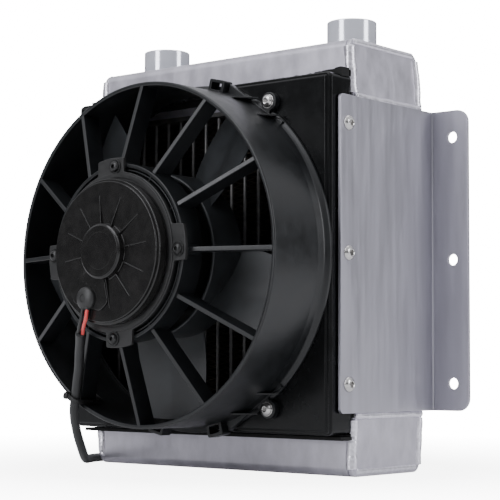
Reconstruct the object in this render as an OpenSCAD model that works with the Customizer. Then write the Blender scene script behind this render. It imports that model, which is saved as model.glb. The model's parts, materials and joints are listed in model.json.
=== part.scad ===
// Hydraulic oil cooler: two welded tanks, a tube-and-fin core, a sheet shroud and an electric fan.
// X runs across the core, Y from the fan (negative) to the back, Z up.
// The origin is the centre of the lower tank's foot.

/* [Tanks and core] */
// Width of both tanks over their end plates
tank_w = 315; // [300:1:340]
// Front-to-back depth of both tanks
tank_d = 105; // [100:1:120]
// Height from the foot to the top of the upper tank
stack_h = 388.5; // [385:0.5:395]
// Height of each tank
tank_h = 52; // [48:1:52]
// Thickness of the tank sheet
tank_wall = 3; // [2:0.5:4]
// Outside radius of the long tank edges
tank_round = 8; // [6:1:10]
// Number of oil tubes
tube_count = 18; // [12:1:20]
// Thickness of one flat oil tube
tube_t = 4.5; // [4:0.5:6]
// Front-to-back depth of the tubes
tube_d = 90; // [80:1:95]

/* [Oil ports] */
// Distance of each port from the centre
port_x = 117; // [100:1:120]
// Outside diameter of a port
port_od = 46; // [42:1:48]
// Height of a port above its tank
port_rise = 26.5; // [20:0.5:30]
// Minor diameter of the port thread
port_bore = 31; // [25:0.5:33]

/* [Brackets] */
// Height of a bracket
bracket_h = 279; // [270:1:279]
// Thickness of the bracket plate
bracket_t = 3.2; // [3:0.1:3.2]
// Width of the mounting flange
flange_w = 39; // [36:1:45]
// Distance from the bracket's side to the mounting holes
hole_offset = 22; // [20:1:24]
// Vertical distance between neighbouring holes
hole_pitch = 114.3; // [110:0.1:118]
// Diameter of a mounting hole
hole_d = 10.5; // [9:0.1:12]

/* [Shroud and fan] */
// Height of the bracket, shroud and fan centre
mid_z = 195.5; // [195:0.1:196]
// Height of the shroud
shroud_h = 317; // [312:1:320]
// Distance from the core's centre plane to the shroud's face
shroud_face = 86.5; // [80:0.5:90]
// Outside radius of the fan ring
ring_r = 155; // [153:1:156]
// Distance from the core's centre plane to the front of the fan ring
ring_front = 159; // [155:1:160]
// Number of ribs that carry the motor
rib_count = 12; // [12:12:12]
// Number of fan blades
blade_count = 5; // [5:1:7]
// Radius of the impeller hub
hub_r = 74.5; // [74:0.5:75]
// Radius of the blade tips
tip_r = 147; // [140:1:148]

/* [Motor] */
// Radius of the motor can
can_r = 52; // [50:1:54]
// Radius of the motor cap
cap_r = 64; // [62:1:65]
// Radius of the motor shaft
shaft_r = 5; // [4:0.5:5]

/* [Cable] */
// Diameter of the power cable
cable_d = 8.6; // [6:0.1:8.6]

/* [Hidden] */
$fn = 96;
eps = 0.01;

core_face = tank_d / 2;
core_low = tank_h;
core_high = stack_h - tank_h;
header_t = 4;
side_t = 4;
end_t = 5;
core_half = tank_w / 2 - side_t;
tube_pitch = (2 * core_half + tube_t) / (tube_count + 1);
tube_wall = 1.2;
fin_t = 0.6;
fin_folds = 24;
turbulator_folds = 8;
turbulator_t = 0.5;
bead_r = 2;

bracket_low = mid_z - bracket_h / 2;
bracket_front = 75.5;
bracket_back = 70.5;
bracket_face = tank_w / 2 + bracket_t;
bracket_corner = 10;
bracket_screw_y = 64.5;
screw_rows = [-1, 0, 1];

shroud_t = 1.5;
shroud_half = tank_w / 2 - shroud_t;
shroud_lip = 5;
gasket_t = 1.5;
shroud_opening = 149;
ring_wall = 4;
ring_inner = ring_r - ring_wall;
flange_r = 160;
flange_h = 5.5;
ear_x = 93;
ear_z = 136.5;
ear_h = 6.5;
ear_r = 8.5;
ear_root_out = [109, 117];
ear_root_in = [48, 157];
gusset_t = 1.6;
gusset_h = 23.5;
m6_r = 3;
m8_r = 4;

mount_r = 78.5;
mount_front = 187.5;
mount_back = 163.5;
channel_out = 75.3;
channel_in = 70.3;
rib_t = 4;
rib_front = 184;
rib_depth = 20;
motor_screw_r = 75.5;
motor_flange_h = 3.5;
motor_flange_r = 71;

hub_front = 144;
hub_back = 103.5;
hub_wall = 3;
blade_t = 2.8;

can_back = 114;
can_wall = 1.7;
can_front = mount_front;
cap_back = mount_front + motor_flange_h + 0.8;
cap_front = 203.5;
disc_r = 24.2;
disc_front = 210.5;
gland_at = [-20, -40.5];
gland_r = 10.5;
gland_base = 205;
bearing_r = 13;
bearing_w = 8;
race_in = 7.6;
race_out = 10.6;
ball_orbit = 9.1;
ball_r = 1.35;
ball_count = 8;
rear_bearing = 113.5;
front_bearing = 197.5;
core_lam_r = 40.5;

// Route of the power cable, chosen by hand: down the rib, over the ring, to the floor
// and round behind the lower tank.
cable_route = [
    [-33.2, -199.5, 125], [-41.2, -191.6, 117], [-49, -184.8, 108], [-57.8, -176.8, 95],
    [-65.6, -171.2, 82], [-72.2, -166.4, 69], [-75.6, -164.8, 61], [-82, -159, 53],
    [-91.6, -148.2, 43], [-103.6, -132.8, 30], [-117.8, -113.4, 16], [-133, -95.5, 8.8],
    [-147.6, -78.5, 5.1], [-160.5, -60.5, 4.4], [-168, -41, 4.4], [-171, -15, 4.4],
    [-171, 14, 4.4], [-168, 42, 4.4], [-159, 66, 4.4], [-142, 84, 4.4], [-118, 93.5, 4.4],
    [-92, 95.5, 4.4], [-66, 95.5, 4.7], [-45, 95.5, 5.2]
];
red_route = [
    [-17, -206.7, 147], [-17, -207.8, 142], [-18.5, -207.2, 137], [-22.8, -205, 132],
    [-27.6, -201.4, 128], [-32, -197.6, 124.2]
];
black_route = [
    [-22.2, -206.7, 147], [-22.7, -207.8, 142], [-24.3, -207.2, 137], [-28, -205.2, 132.5],
    [-31.6, -202.6, 128.6], [-35.2, -199.8, 124.2]
];
wire_r = 1.6;
plug_x = -45;
plug_y = 95.5;
plug_z = 7;

function seg_dir(route, i) =
    let (
        a = route[max(i - 1, 0)],
        b = route[min(i + 1, len(route) - 1)]
    ) (b - a) / norm(b - a);

function blend4(a, b, c, d, t) =
    0.5 * (2 * b + (c - a) * t + (2 * a - 5 * b + 4 * c - d) * t * t
    + (3 * b - 3 * c + d - a) * t * t * t);

// Points of a smooth curve through the route
function smooth_route(route, steps) = [
    for (i = [0 : len(route) - 2])
        for (s = [0 : steps - 1])
            blend4(
                route[max(i - 1, 0)], route[i], route[i + 1],
                route[min(i + 2, len(route) - 1)], s / steps
            ),
    route[len(route) - 1]
];

// A round tube swept along a route as one closed polyhedron.
// The route never runs along the vector called across.
module swept_tube(route, r, sides, steps, across) {
    path = smooth_route(route, steps);
    n = len(path);
    points = [
        for (i = [0 : n - 1])
            let (
                d = seg_dir(path, i),
                side = cross(d, across),
                u = side / norm(side),
                v = cross(u, d)
            )
            for (k = [0 : sides - 1])
                path[i] + r * (cos(360 * k / sides) * u + sin(360 * k / sides) * v)
    ];
    skin = [
        for (i = [0 : n - 2])
            for (k = [0 : sides - 1])
                let (next = (k + 1) % sides)
                [i * sides + k, i * sides + next, (i + 1) * sides + next, (i + 1) * sides + k]
    ];
    start_cap = [[for (k = [sides - 1 : -1 : 0]) k]];
    end_cap = [[for (k = [0 : sides - 1]) (n - 1) * sides + k]];
    polyhedron(points = points, faces = concat(skin, start_cap, end_cap));
}

// Local z becomes the distance in front of the core, local x and y stay across and up
module fan_frame() {
    translate([0, 0, mid_z]) rotate([90, 0, 0]) children();
}

module tube_between(r_out, r_in, low, high) {
    translate([0, 0, low])
        difference() {
            cylinder(r = r_out, h = high - low);
            translate([0, 0, -1]) cylinder(r = r_in, h = high - low + 2);
        }
}

// Tank outline: width along x, open edge at y = 0, long edges rounded
module tank_outline(w, h, r) {
    translate([-w / 2, 0]) square([w, h - r]);
    translate([-w / 2 + r, 0]) square([w - 2 * r, h]);
    for (side = [-1, 1]) translate([side * (w / 2 - r), h - r]) circle(r = r);
}

// Extrudes a YZ outline along X, centred on the middle plane
module along_x(length) {
    translate([-length / 2, 0, 0]) rotate([90, 0, 90]) linear_extrude(length) children();
}

module tank_shell() {
    along_x(tank_w - 2 * end_t)
        difference() {
            tank_outline(tank_d, tank_h, tank_round);
            translate([0, -eps])
                tank_outline(tank_d - 2 * tank_wall, tank_h - tank_wall + eps, tank_round - tank_wall);
        }
}

module end_plates() {
    for (side = [-1, 1])
        translate([side * (tank_w - end_t) / 2, 0, 0])
            along_x(end_t) tank_outline(tank_d, tank_h, tank_round);
}

module on_top() {
    translate([0, 0, core_high]) children();
}

module on_bottom() {
    translate([0, 0, core_low]) mirror([0, 0, 1]) children();
}

module top_tank_shell() {
    color("silver")
        difference() {
            on_top() tank_shell();
            for (side = [-1, 1])
                translate([side * port_x, 0, stack_h - tank_wall - 1])
                    cylinder(d = port_od - 8, h = tank_wall + 2);
        }
}

module bottom_tank_shell() {
    color("silver") on_bottom() tank_shell();
}

module top_tank_end_plates() {
    color("silver") on_top() end_plates();
}

module bottom_tank_end_plates() {
    color("silver") on_bottom() end_plates();
}

module tube_outline(shrink) {
    r = tube_t / 2 - shrink;
    square([2 * r, tube_d - tube_t], center = true);
    for (side = [-1, 1]) translate([0, side * (tube_d - tube_t) / 2]) circle(r = r, $fn = 24);
}

module at_tubes() {
    for (i = [0 : tube_count - 1])
        translate([(i - (tube_count - 1) / 2) * tube_pitch, 0, 0]) children();
}

module header(low) {
    color("silver")
        translate([0, 0, low])
            linear_extrude(header_t)
                difference() {
                    square([tank_w, tank_d], center = true);
                    at_tubes() tube_outline(0);
                }
}

module top_header() {
    header(core_high - header_t);
}

module bottom_header() {
    header(core_low);
}

// The sheet that splits the upper tank, so that the oil runs down one half and up the other
module pass_baffle() {
    color("silver")
        on_top()
            along_x(tank_wall)
                tank_outline(tank_d - 2 * tank_wall, tank_h - tank_wall, tank_round - tank_wall);
}

module oil_tubes() {
    color("gray")
        translate([0, 0, core_low])
            linear_extrude(core_high - core_low)
                at_tubes()
                    difference() {
                        tube_outline(0);
                        tube_outline(tube_wall);
                    }
}

// A folded strip that swings across [0, width] while it climbs to the given length
module folded_strip(width, length, folds, t) {
    step = length / folds;
    rise = [for (i = [0 : folds]) [(i % 2) * (width - t), i * step]];
    fall = [for (i = [folds : -1 : 0]) [(i % 2) * (width - t) + t, i * step]];
    polygon(concat(rise, fall));
}

module tube_turbulators() {
    inner = tube_t - 2 * tube_wall;
    span = tube_d - 2 * tube_t;
    color("silver")
        translate([0, 0, core_low + 2])
            linear_extrude(core_high - core_low - 4)
                at_tubes()
                    translate([-inner / 2, -span / 2])
                        folded_strip(inner, span, turbulator_folds, turbulator_t);
}

module air_fins() {
    gap = tube_pitch - tube_t;
    depth = tube_d - 2;
    low = core_low + header_t;
    color("dimgray")
        for (i = [0 : tube_count])
            translate([(i - tube_count / 2) * tube_pitch - gap / 2, depth / 2, low])
                rotate([90, 0, 0])
                    linear_extrude(depth)
                        folded_strip(gap, core_high - header_t - low, fin_folds, fin_t);
}

module core_side_plates() {
    low = core_low + header_t;
    color("silver")
        for (side = [-1, 1])
            translate([side * (tank_w - side_t) / 2, 0, (low + core_high - header_t) / 2])
                cube([side_t, tank_d, core_high - header_t - low], center = true);
}

// Beads of weld metal that stand proud of the joints they close
module weld_beads() {
    corner_l = tank_h - 10;
    seam_l = tank_w - 6;
    color("silver")
        difference() {
            union() {
                for (x = [-tank_w / 2, tank_w / 2])
                    for (y = [-core_face, core_face])
                        for (low = [6, stack_h - 6 - corner_l])
                            translate([x, y, low]) cylinder(r = bead_r, h = corner_l, $fn = 24);
                for (z = [core_low, core_high])
                    translate([-seam_l / 2, core_face, z])
                        rotate([0, 90, 0]) cylinder(r = bead_r, h = seam_l, $fn = 24);
                for (x = [-tank_w / 2, tank_w / 2])
                    for (z = [bracket_low, bracket_low + bracket_h])
                        translate([x, core_face, z])
                            rotate([90, 0, 0]) cylinder(r = bracket_t, h = tank_d, $fn = 24);
                for (x = [-port_x, port_x])
                    translate([x, 0, stack_h])
                        rotate_extrude() translate([port_od / 2, 0]) circle(r = bead_r, $fn = 24);
            }
            translate([-tank_w / 2, -core_face, 0]) cube([tank_w, tank_d, stack_h]);
            translate([-bracket_face, -core_face - 1, bracket_low])
                cube([2 * bracket_face, tank_d + 2, bracket_h]);
            for (x = [-port_x, port_x])
                translate([x, 0, stack_h - 1]) cylinder(d = port_od, h = port_rise);
        }
}

// Oil port with a plain bore at the thread's minor diameter and a seal chamfer at its mouth
module port(side) {
    chamfer = 2.5;
    spigot = port_od - 8;
    color("lightgray")
        translate([side * port_x, 0, 0])
            difference() {
                union() {
                    translate([0, 0, stack_h]) cylinder(d = port_od, h = port_rise);
                    translate([0, 0, stack_h - tank_wall]) cylinder(d = spigot, h = tank_wall + 1);
                }
                translate([0, 0, stack_h - tank_wall - 1])
                    cylinder(d = port_bore, h = port_rise + tank_wall + 2);
                translate([0, 0, stack_h + port_rise - chamfer])
                    cylinder(r1 = port_bore / 2, r2 = port_bore / 2 + chamfer, h = chamfer + eps);
            }
}

module inlet_port() {
    port(-1);
}

module outlet_port() {
    port(1);
}

// Plate outline with two rounded corners on the side away from x = 0
module rounded_plate(w, h, r) {
    square([w - r, h]);
    translate([0, r]) square([w, h - 2 * r]);
    for (y = [r, h - r]) translate([w - r, y]) circle(r = r);
}

// Right-hand bracket: a side plate along the core and a flange turned outward at the back
module bracket_plate() {
    depth = bracket_front + bracket_back;
    difference() {
        union() {
            translate([bracket_face, bracket_back, bracket_low])
                rotate([90, 0, -90])
                    linear_extrude(bracket_t) rounded_plate(depth, bracket_h, 4);
            translate([tank_w / 2, bracket_back, bracket_low])
                rotate([90, 0, 0])
                    linear_extrude(bracket_t)
                        rounded_plate(flange_w + bracket_t, bracket_h, bracket_corner);
        }
        for (row = screw_rows) {
            translate([bracket_face + hole_offset, bracket_back + 1, mid_z + row * hole_pitch])
                rotate([90, 0, 0]) cylinder(d = hole_d, h = bracket_t + 2);
            translate([tank_w / 2 - 1, -bracket_screw_y, mid_z + row * hole_pitch])
                rotate([0, 90, 0]) cylinder(r = m8_r + 0.25, h = bracket_t + 2);
        }
    }
}

module bracket_right() {
    color("gainsboro") bracket_plate();
}

module bracket_left() {
    color("gainsboro") mirror([1, 0, 0]) bracket_plate();
}

// A button-head screw along +Z: the head sits on z = 0 and the shank reaches below it
module button_screw(r, length, head_r, head_h, socket_r) {
    ball = (head_r * head_r + head_h * head_h) / (2 * head_h);
    difference() {
        union() {
            intersection() {
                translate([0, 0, head_h - ball]) sphere(r = ball);
                cylinder(r = head_r, h = head_h);
            }
            translate([0, 0, -length]) cylinder(r = r, h = length + eps, $fn = 32);
        }
        translate([0, 0, head_h * 0.4]) cylinder(r = socket_r, h = head_h, $fn = 6);
    }
}

// Places children on each bracket screw axis, +Z pointing outward
module at_bracket_screws(x) {
    for (side = [0, 1])
        mirror([side, 0, 0])
            for (row = screw_rows)
                translate([x, -bracket_screw_y, mid_z + row * hole_pitch])
                    rotate([0, 90, 0]) children();
}

module bracket_screws() {
    color("whitesmoke") at_bracket_screws(bracket_face) button_screw(m8_r, 15, 6.95, 4.2, 2.9);
}

module rivet_nuts() {
    body_r = 5.5;
    body_l = 13;
    color("dimgray")
        at_bracket_screws(shroud_half)
            difference() {
                union() {
                    cylinder(r = 7.5, h = shroud_t);
                    translate([0, 0, -body_l]) cylinder(r = body_r, h = body_l + eps);
                }
                translate([0, 0, -body_l - 1]) cylinder(r = m8_r, h = body_l + 4);
            }
}

module at_fan_screws(h) {
    fan_frame()
        for (x = [-ear_x, ear_x])
            for (y = [-ear_z, ear_z])
                translate([x, y, h]) children();
}

module fan_shroud() {
    back = core_face + gasket_t;
    low = mid_z - shroud_h / 2;
    depth = shroud_face - back;
    color([0.08, 0.08, 0.09])
        difference() {
            union() {
                translate([-shroud_half, -shroud_face, low]) cube([2 * shroud_half, depth, shroud_h]);
                translate([-shroud_half, -back - shroud_t, low - shroud_lip])
                    cube([2 * shroud_half, shroud_t, shroud_h + 2 * shroud_lip]);
            }
            translate([-shroud_half + shroud_t, -shroud_face + shroud_t, low + shroud_t])
                cube([2 * (shroud_half - shroud_t), depth + 1, shroud_h - 2 * shroud_t]);
            fan_frame() cylinder(r = shroud_opening, h = shroud_face + 1);
            at_fan_screws(shroud_face - 3) cylinder(r = m6_r + 0.25, h = 4);
            at_bracket_screws(shroud_half - 3) cylinder(r = 5.5, h = 4);
        }
}

// Foam seal between the shroud and the core, with a loose strip under the shroud's lower edge
module shroud_gasket() {
    inset = 10;
    half = shroud_half - 1;
    low = mid_z - shroud_h / 2;
    strip_front = 71;
    strip_back = core_face + gasket_t + shroud_t;
    color([0.15, 0.15, 0.15]) {
        difference() {
            translate([-half, -core_face - gasket_t, low - shroud_lip])
                cube([2 * half, gasket_t, shroud_h + 2 * shroud_lip]);
            translate([-half + inset, -core_face - gasket_t - 1, low + inset])
                cube([2 * (half - inset), gasket_t + 2, shroud_h - 2 * inset]);
        }
        translate([-tank_w / 2, -strip_front, low - shroud_lip + 0.5])
            cube([tank_w, strip_front - strip_back, 3]);
    }
}

// One rib from the motor mount to the ring, drawn in the plane of radius and height
module rib() {
    translate([0, rib_t / 2, 0])
        rotate([90, 0, 0])
            linear_extrude(rib_t)
                polygon([
                    [channel_out + 1, rib_front], [mount_r, rib_front],
                    [ring_inner + 1, ring_front], [ring_inner + 1, ring_front - rib_depth],
                    [93, 160], [channel_out + 1, mount_back]
                ]);
}

module ring_profile() {
    polygon([
        [ring_inner, shroud_face], [flange_r, shroud_face], [flange_r, shroud_face + 3],
        [ring_r + 1, shroud_face + flange_h], [ring_r, shroud_face + flange_h + 6],
        [ring_r, ring_front], [ring_inner, ring_front]
    ]);
}

// Where a straight line from a point touches a circle, on the left (1) or right (-1) of it
function touch_point(from, centre, r, side) =
    let (
        d = norm(from - centre),
        away = atan2(from[1] - centre[1], from[0] - centre[0]) + side * acos(r / d)
    ) centre + r * [cos(away), sin(away)];

// Upright web from the ring's wall down to an ear, drawn from its foot on the wall
module gusset(length) {
    translate([0, gusset_t / 2, 0])
        rotate([90, 0, 0])
            linear_extrude(gusset_t)
                polygon([[-3, ear_h - 1], [length, ear_h - 1], [0, gusset_h], [-3, gusset_h]]);
}

// Upper right mounting ear: a pad drawn tightly round the screw, and straight sides back to the ring
module housing_ear() {
    centre = [ear_x, ear_z];
    linear_extrude(ear_h) {
        translate(centre) circle(r = ear_r);
        polygon([
            centre * 0.85, ear_root_out * 0.95, ear_root_out,
            touch_point(ear_root_out, centre, ear_r, -1),
            centre,
            touch_point(ear_root_in, centre, ear_r, 1),
            ear_root_in, ear_root_in * 0.95
        ]);
    }
    translate([67, 141, 0]) gusset(14);
    translate([94, 123, 0]) gusset(11);
}

// Rectangular clip eye on the outside of the ring
module clip_eye() {
    difference() {
        translate([ring_r - 3, -9, shroud_face]) cube([14, 18, 12]);
        translate([ring_r + 1.5, -6, shroud_face - 1]) cube([6.5, 12, 14]);
    }
}

module fan_housing() {
    bore_h = 20;
    color([0.1, 0.1, 0.11])
        fan_frame()
            difference() {
                union() {
                    rotate_extrude($fn = 180) ring_profile();
                    difference() {
                        for (sx = [0, 1])
                            mirror([sx, 0, 0])
                                for (sy = [0, 1])
                                    mirror([0, sy, 0])
                                        translate([0, 0, shroud_face]) housing_ear();
                        cylinder(r = ring_r - 2, h = ring_front + 1);
                    }
                    for (a = [77, 103, 257, 283]) rotate([0, 0, a]) clip_eye();
                    for (i = [0 : rib_count - 1]) rotate([0, 0, i * 360 / rib_count]) rib();
                    tube_between(mount_r, channel_out, mount_back, mount_front);
                    tube_between(channel_in, channel_in - 3, mount_back + 12, mount_front);
                    tube_between(mount_r, channel_in - 3, mount_back + 12, mount_back + 15);
                    for (i = [0 : rib_count - 1])
                        rotate([0, 0, i * 360 / rib_count])
                            translate([channel_in - 1, -1, mount_back + 12])
                                cube([channel_out - channel_in + 2, 2, 10]);
                    for (i = [0 : 3])
                        rotate([0, 0, 90 * i])
                            translate([motor_screw_r, 0, mount_back + 6])
                                cylinder(r = 5.5, h = mount_front - mount_back - 6);
                }
                for (i = [0 : 3])
                    rotate([0, 0, 90 * i])
                        translate([motor_screw_r, 0, mount_front - 14]) cylinder(r = 2.5, h = 16);
                for (x = [-ear_x, ear_x])
                    for (y = [-ear_z, ear_z])
                        translate([x, y, shroud_face - 1]) cylinder(r = m6_r + 0.25, h = bore_h);
            }
}

module fan_screws() {
    color("whitesmoke")
        at_fan_screws(shroud_face + ear_h) {
            translate([0, 0, 1]) button_screw(m6_r, 17, 5.6, 3.3, 2.3);
            difference() {
                cylinder(r = 6.4, h = 1);
                translate([0, 0, -1]) cylinder(r = m6_r, h = 3);
            }
        }
}

module fan_nuts() {
    color("dimgray")
        at_fan_screws(shroud_face - shroud_t - 5)
            difference() {
                union() {
                    cylinder(r = 5.8, h = 5, $fn = 6);
                    translate([0, 0, 3.8]) cylinder(r = 7, h = 1.2);
                }
                translate([0, 0, -1]) cylinder(r = m6_r, h = 7);
            }
}

// Motor flange with four ears that run round from each screw
module motor_flange() {
    ear_out = 83.5;
    cylinder(r = motor_flange_r, h = motor_flange_h);
    for (i = [0 : 3])
        rotate([0, 0, 90 * i - 7])
            rotate_extrude(angle = 23) translate([60, 0]) square([ear_out - 60, motor_flange_h]);
}

module motor_case() {
    color([0.12, 0.12, 0.13])
        fan_frame()
            difference() {
                union() {
                    translate([0, 0, can_back]) cylinder(r = can_r, h = can_front - can_back + eps);
                    translate([0, 0, rear_bearing - 2]) cylinder(r = 16, h = 4);
                    translate([0, 0, mount_front]) motor_flange();
                }
                difference() {
                    translate([0, 0, can_back + 2.5])
                        cylinder(r = can_r - can_wall, h = can_front - can_back + motor_flange_h);
                    translate([0, 0, can_back]) cylinder(r = 16, h = bearing_w);
                }
                translate([0, 0, rear_bearing]) cylinder(r = bearing_r, h = bearing_w + 2);
                translate([0, 0, rear_bearing - 4]) cylinder(r = 8, h = 6);
                for (i = [0 : 3])
                    rotate([0, 0, 90 * i])
                        translate([motor_screw_r, 0, mount_front - 1]) cylinder(r = 2.75, h = 6);
            }
}

module motor_magnets() {
    color([0.25, 0.25, 0.27])
        fan_frame()
            for (i = [0 : 3])
                rotate([0, 0, 90 * i + 9])
                    translate([0, 0, 138])
                        rotate_extrude(angle = 72)
                            translate([core_lam_r + 1, 0])
                                square([can_r - can_wall - core_lam_r - 1, 30]);
}

module motor_cap() {
    skirt = 3;
    boss_low = 194;
    color([0.13, 0.13, 0.14])
        fan_frame()
            difference() {
                union() {
                    difference() {
                        translate([0, 0, cap_back]) cylinder(r = cap_r, h = cap_front - cap_back);
                        translate([0, 0, cap_back - 1])
                            cylinder(r = cap_r - skirt, h = cap_front - cap_back - 2);
                    }
                    translate([0, 0, cap_front - 3 - eps])
                        cylinder(r = disc_r, h = disc_front - cap_front + 3);
                    translate([0, 0, boss_low]) cylinder(r = 16, h = cap_front - boss_low);
                    for (i = [0 : 11])
                        if (i != 8)
                            rotate([0, 0, 8 + 30 * i])
                                translate([disc_r - 1, -0.8, cap_front - 1]) cube([26, 1.6, 2]);
                    translate([0, 0, cap_front - 1])
                        linear_extrude(gland_base - cap_front + 1)
                            polygon([[-21, -14], [-41, -32], [-36, -44], [-4, -52], [6, -44], [1, -24]]);
                }
                translate([0, 0, boss_low - 1])
                    cylinder(r = bearing_r, h = front_bearing + bearing_w - boss_low + 1);
            }
}

module cap_gasket() {
    color([0.05, 0.05, 0.05])
        fan_frame() tube_between(cap_r, cap_r - 3, mount_front + motor_flange_h, cap_back);
}

module motor_screws() {
    head_h = 3;
    color("gray")
        fan_frame()
            for (i = [0 : 3])
                rotate([0, 0, 90 * i])
                    translate([motor_screw_r, 0, mount_front + motor_flange_h]) {
                        difference() {
                            cylinder(r = 6.5, h = 1);
                            translate([0, 0, -1]) cylinder(r = 2.45, h = 3);
                        }
                        translate([0, 0, 1]) button_screw(2.45, 16, 4.75, head_h, 2);
                    }
}

module brush_holder() {
    color([0.3, 0.25, 0.18])
        fan_frame()
            difference() {
                union() {
                    tube_between(can_r - can_wall, 20, 179, 181);
                    for (a = [0, 180])
                        rotate([0, 0, a]) translate([18, -6, 181 - eps]) cube([24, 12, 10]);
                }
                for (a = [0, 180])
                    rotate([0, 0, a]) translate([10, -4, 182.5]) cube([29, 8, 6.5]);
            }
}

module brushes() {
    color([0.2, 0.2, 0.2])
        fan_frame()
            for (a = [0, 180])
                rotate([0, 0, a]) translate([12.3, -3.8, 182.7]) cube([14, 7.6, 6.1]);
}

// Brush springs, drawn as a stack of closed turns
module brush_springs() {
    color("silver")
        fan_frame()
            for (a = [0, 180])
                rotate([0, 0, a])
                    for (i = [0 : 4])
                        translate([27 + 2.6 * i, 0, 185.75])
                            rotate([0, 90, 0])
                                rotate_extrude($fn = 48)
                                    translate([2.3, 0]) circle(r = 0.55, $fn = 16);
}

module bearing_rings(r_out, r_in) {
    fan_frame()
        for (low = [rear_bearing, front_bearing]) tube_between(r_out, r_in, low, low + bearing_w);
}

module bearing_outer_rings() {
    color("silver") bearing_rings(bearing_r, race_out);
}

module bearing_inner_rings() {
    color("silver") bearing_rings(race_in, shaft_r);
}

module bearing_balls() {
    color("silver")
        fan_frame()
            for (low = [rear_bearing, front_bearing])
                for (i = [0 : ball_count - 1])
                    rotate([0, 0, i * 360 / ball_count])
                        translate([ball_orbit, 0, low + bearing_w / 2]) sphere(r = ball_r, $fn = 32);
}

module ball_cages() {
    color("goldenrod")
        fan_frame()
            for (low = [rear_bearing, front_bearing])
                difference() {
                    tube_between(
                        ball_orbit + 0.7, ball_orbit - 0.7,
                        low + bearing_w / 2 - 1.6, low + bearing_w / 2 + 1.6
                    );
                    for (i = [0 : ball_count - 1])
                        rotate([0, 0, i * 360 / ball_count])
                            translate([ball_orbit - 2, 0, low + bearing_w / 2])
                                rotate([0, 90, 0]) cylinder(r = ball_r + 0.05, h = 4, $fn = 32);
                }
}

// Low rubber dome over the point where the leads come out of the cap
module cable_gland() {
    color([0.06, 0.06, 0.06])
        fan_frame()
            translate([gland_at[0], gland_at[1], gland_base])
                intersection() {
                    translate([0, 0, -7]) sphere(r = 13);
                    cylinder(r = gland_r, h = 6);
                }
}

// Blade angles and heights, from the outlet edge (s = 0) to the inlet edge (s = 1)
function blade_angle(f, s) =
    let (outlet = -38.6 + 8.6 * f, inlet = 5 - 12.5 * f) outlet + (inlet - outlet) * s;
function blade_height(f, s) =
    let (outlet = 134 - 3 * f) outlet + (hub_back + 1 - outlet) * s - 8 * s * (1 - s);
function blade_half(s) = blade_t / 2 * (0.35 + 2.6 * s * (1 - s));
function blade_point(f, s, side) =
    let (
        r = hub_r - 2 + (tip_r - hub_r + 2) * f,
        a = blade_angle(f, s)
    ) [r * cos(a), r * sin(a), blade_height(f, s) + side * blade_half(s)];

// One twisted, cambered blade with a tapered section
module blade() {
    spans = 6;
    chords = 8;
    row = chords + 1;
    layer = (spans + 1) * row;
    points = [
        for (side = [-1, 1])
            for (i = [0 : spans])
                for (j = [0 : chords])
                    blade_point(i / spans, j / chords, side)
    ];
    cells = [for (i = [0 : spans - 1]) for (j = [0 : chords - 1]) i * row + j];
    under = [for (c = cells) each [[c, c + row + 1, c + 1], [c, c + row, c + row + 1]]];
    over = [for (f = under) [f[2] + layer, f[1] + layer, f[0] + layer]];
    root_edge = [for (j = [0 : chords - 1]) [j, j + 1, j + 1 + layer, j + layer]];
    tip_start = spans * row;
    tip_edge = [
        for (j = [0 : chords - 1])
            [tip_start + j + 1, tip_start + j, tip_start + j + layer, tip_start + j + 1 + layer]
    ];
    outlet_edge = [
        for (i = [0 : spans - 1])
            [(i + 1) * row, i * row, i * row + layer, (i + 1) * row + layer]
    ];
    inlet_edge = [
        for (i = [0 : spans - 1])
            [i * row + chords, (i + 1) * row + chords, (i + 1) * row + chords + layer,
             i * row + chords + layer]
    ];
    polyhedron(
        points = points,
        faces = concat(under, over, root_edge, tip_edge, outlet_edge, inlet_edge)
    );
}

module impeller() {
    bush_r = 9;
    color([0.09, 0.09, 0.1])
        fan_frame() {
            difference() {
                translate([0, 0, hub_back]) cylinder(r = hub_r, h = hub_front - hub_back);
                translate([0, 0, hub_back + hub_wall])
                    cylinder(r = hub_r - hub_wall, h = hub_front - hub_back);
                translate([0, 0, hub_back - 1]) cylinder(r = bush_r, h = hub_wall + 2);
            }
            for (i = [0 : blade_count - 1]) rotate([0, 0, i * 360 / blade_count]) blade();
        }
}

module hub_bush() {
    color("silver") fan_frame() tube_between(9, shaft_r, hub_back - 1, hub_back + 6);
}

module hub_nut() {
    color("silver")
        fan_frame()
            difference() {
                translate([0, 0, hub_back - 7]) cylinder(r = 8, h = 6, $fn = 6);
                translate([0, 0, hub_back - 8]) cylinder(r = shaft_r, h = 8);
            }
}

module motor_shaft() {
    color("gray")
        fan_frame()
            translate([0, 0, hub_back - 8])
                cylinder(r = shaft_r, h = front_bearing + bearing_w - hub_back + 8 - 0.5);
}

module armature_core() {
    slots = 10;
    color("gray")
        fan_frame()
            difference() {
                tube_between(core_lam_r, shaft_r, 142, 164);
                for (i = [0 : slots - 1])
                    rotate([0, 0, i * 360 / slots])
                        translate([20, -5, 141]) cube([core_lam_r - 22, 10, 24]);
            }
}

module windings() {
    slots = 10;
    color([0.7, 0.35, 0.15])
        fan_frame() {
            for (low = [135, 164])
                tube_between(36, 22, low, low + 7);
            for (i = [0 : slots - 1])
                rotate([0, 0, i * 360 / slots])
                    translate([22, -3, 142]) cube([core_lam_r - 27, 6, 22]);
        }
}

module commutator() {
    color([0.75, 0.45, 0.2]) fan_frame() tube_between(12, shaft_r, 175, 192);
}

module red_wire() {
    color([0.75, 0.1, 0.1]) swept_tube(red_route, wire_r, 8, 2, [0, 1, 0]);
}

module black_wire() {
    color([0.05, 0.05, 0.05]) swept_tube(black_route, wire_r, 8, 2, [0, 1, 0]);
}

module power_cable() {
    color([0.07, 0.07, 0.08]) swept_tube(cable_route, cable_d / 2, 10, 2, [0, 0, 1]);
}

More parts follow.
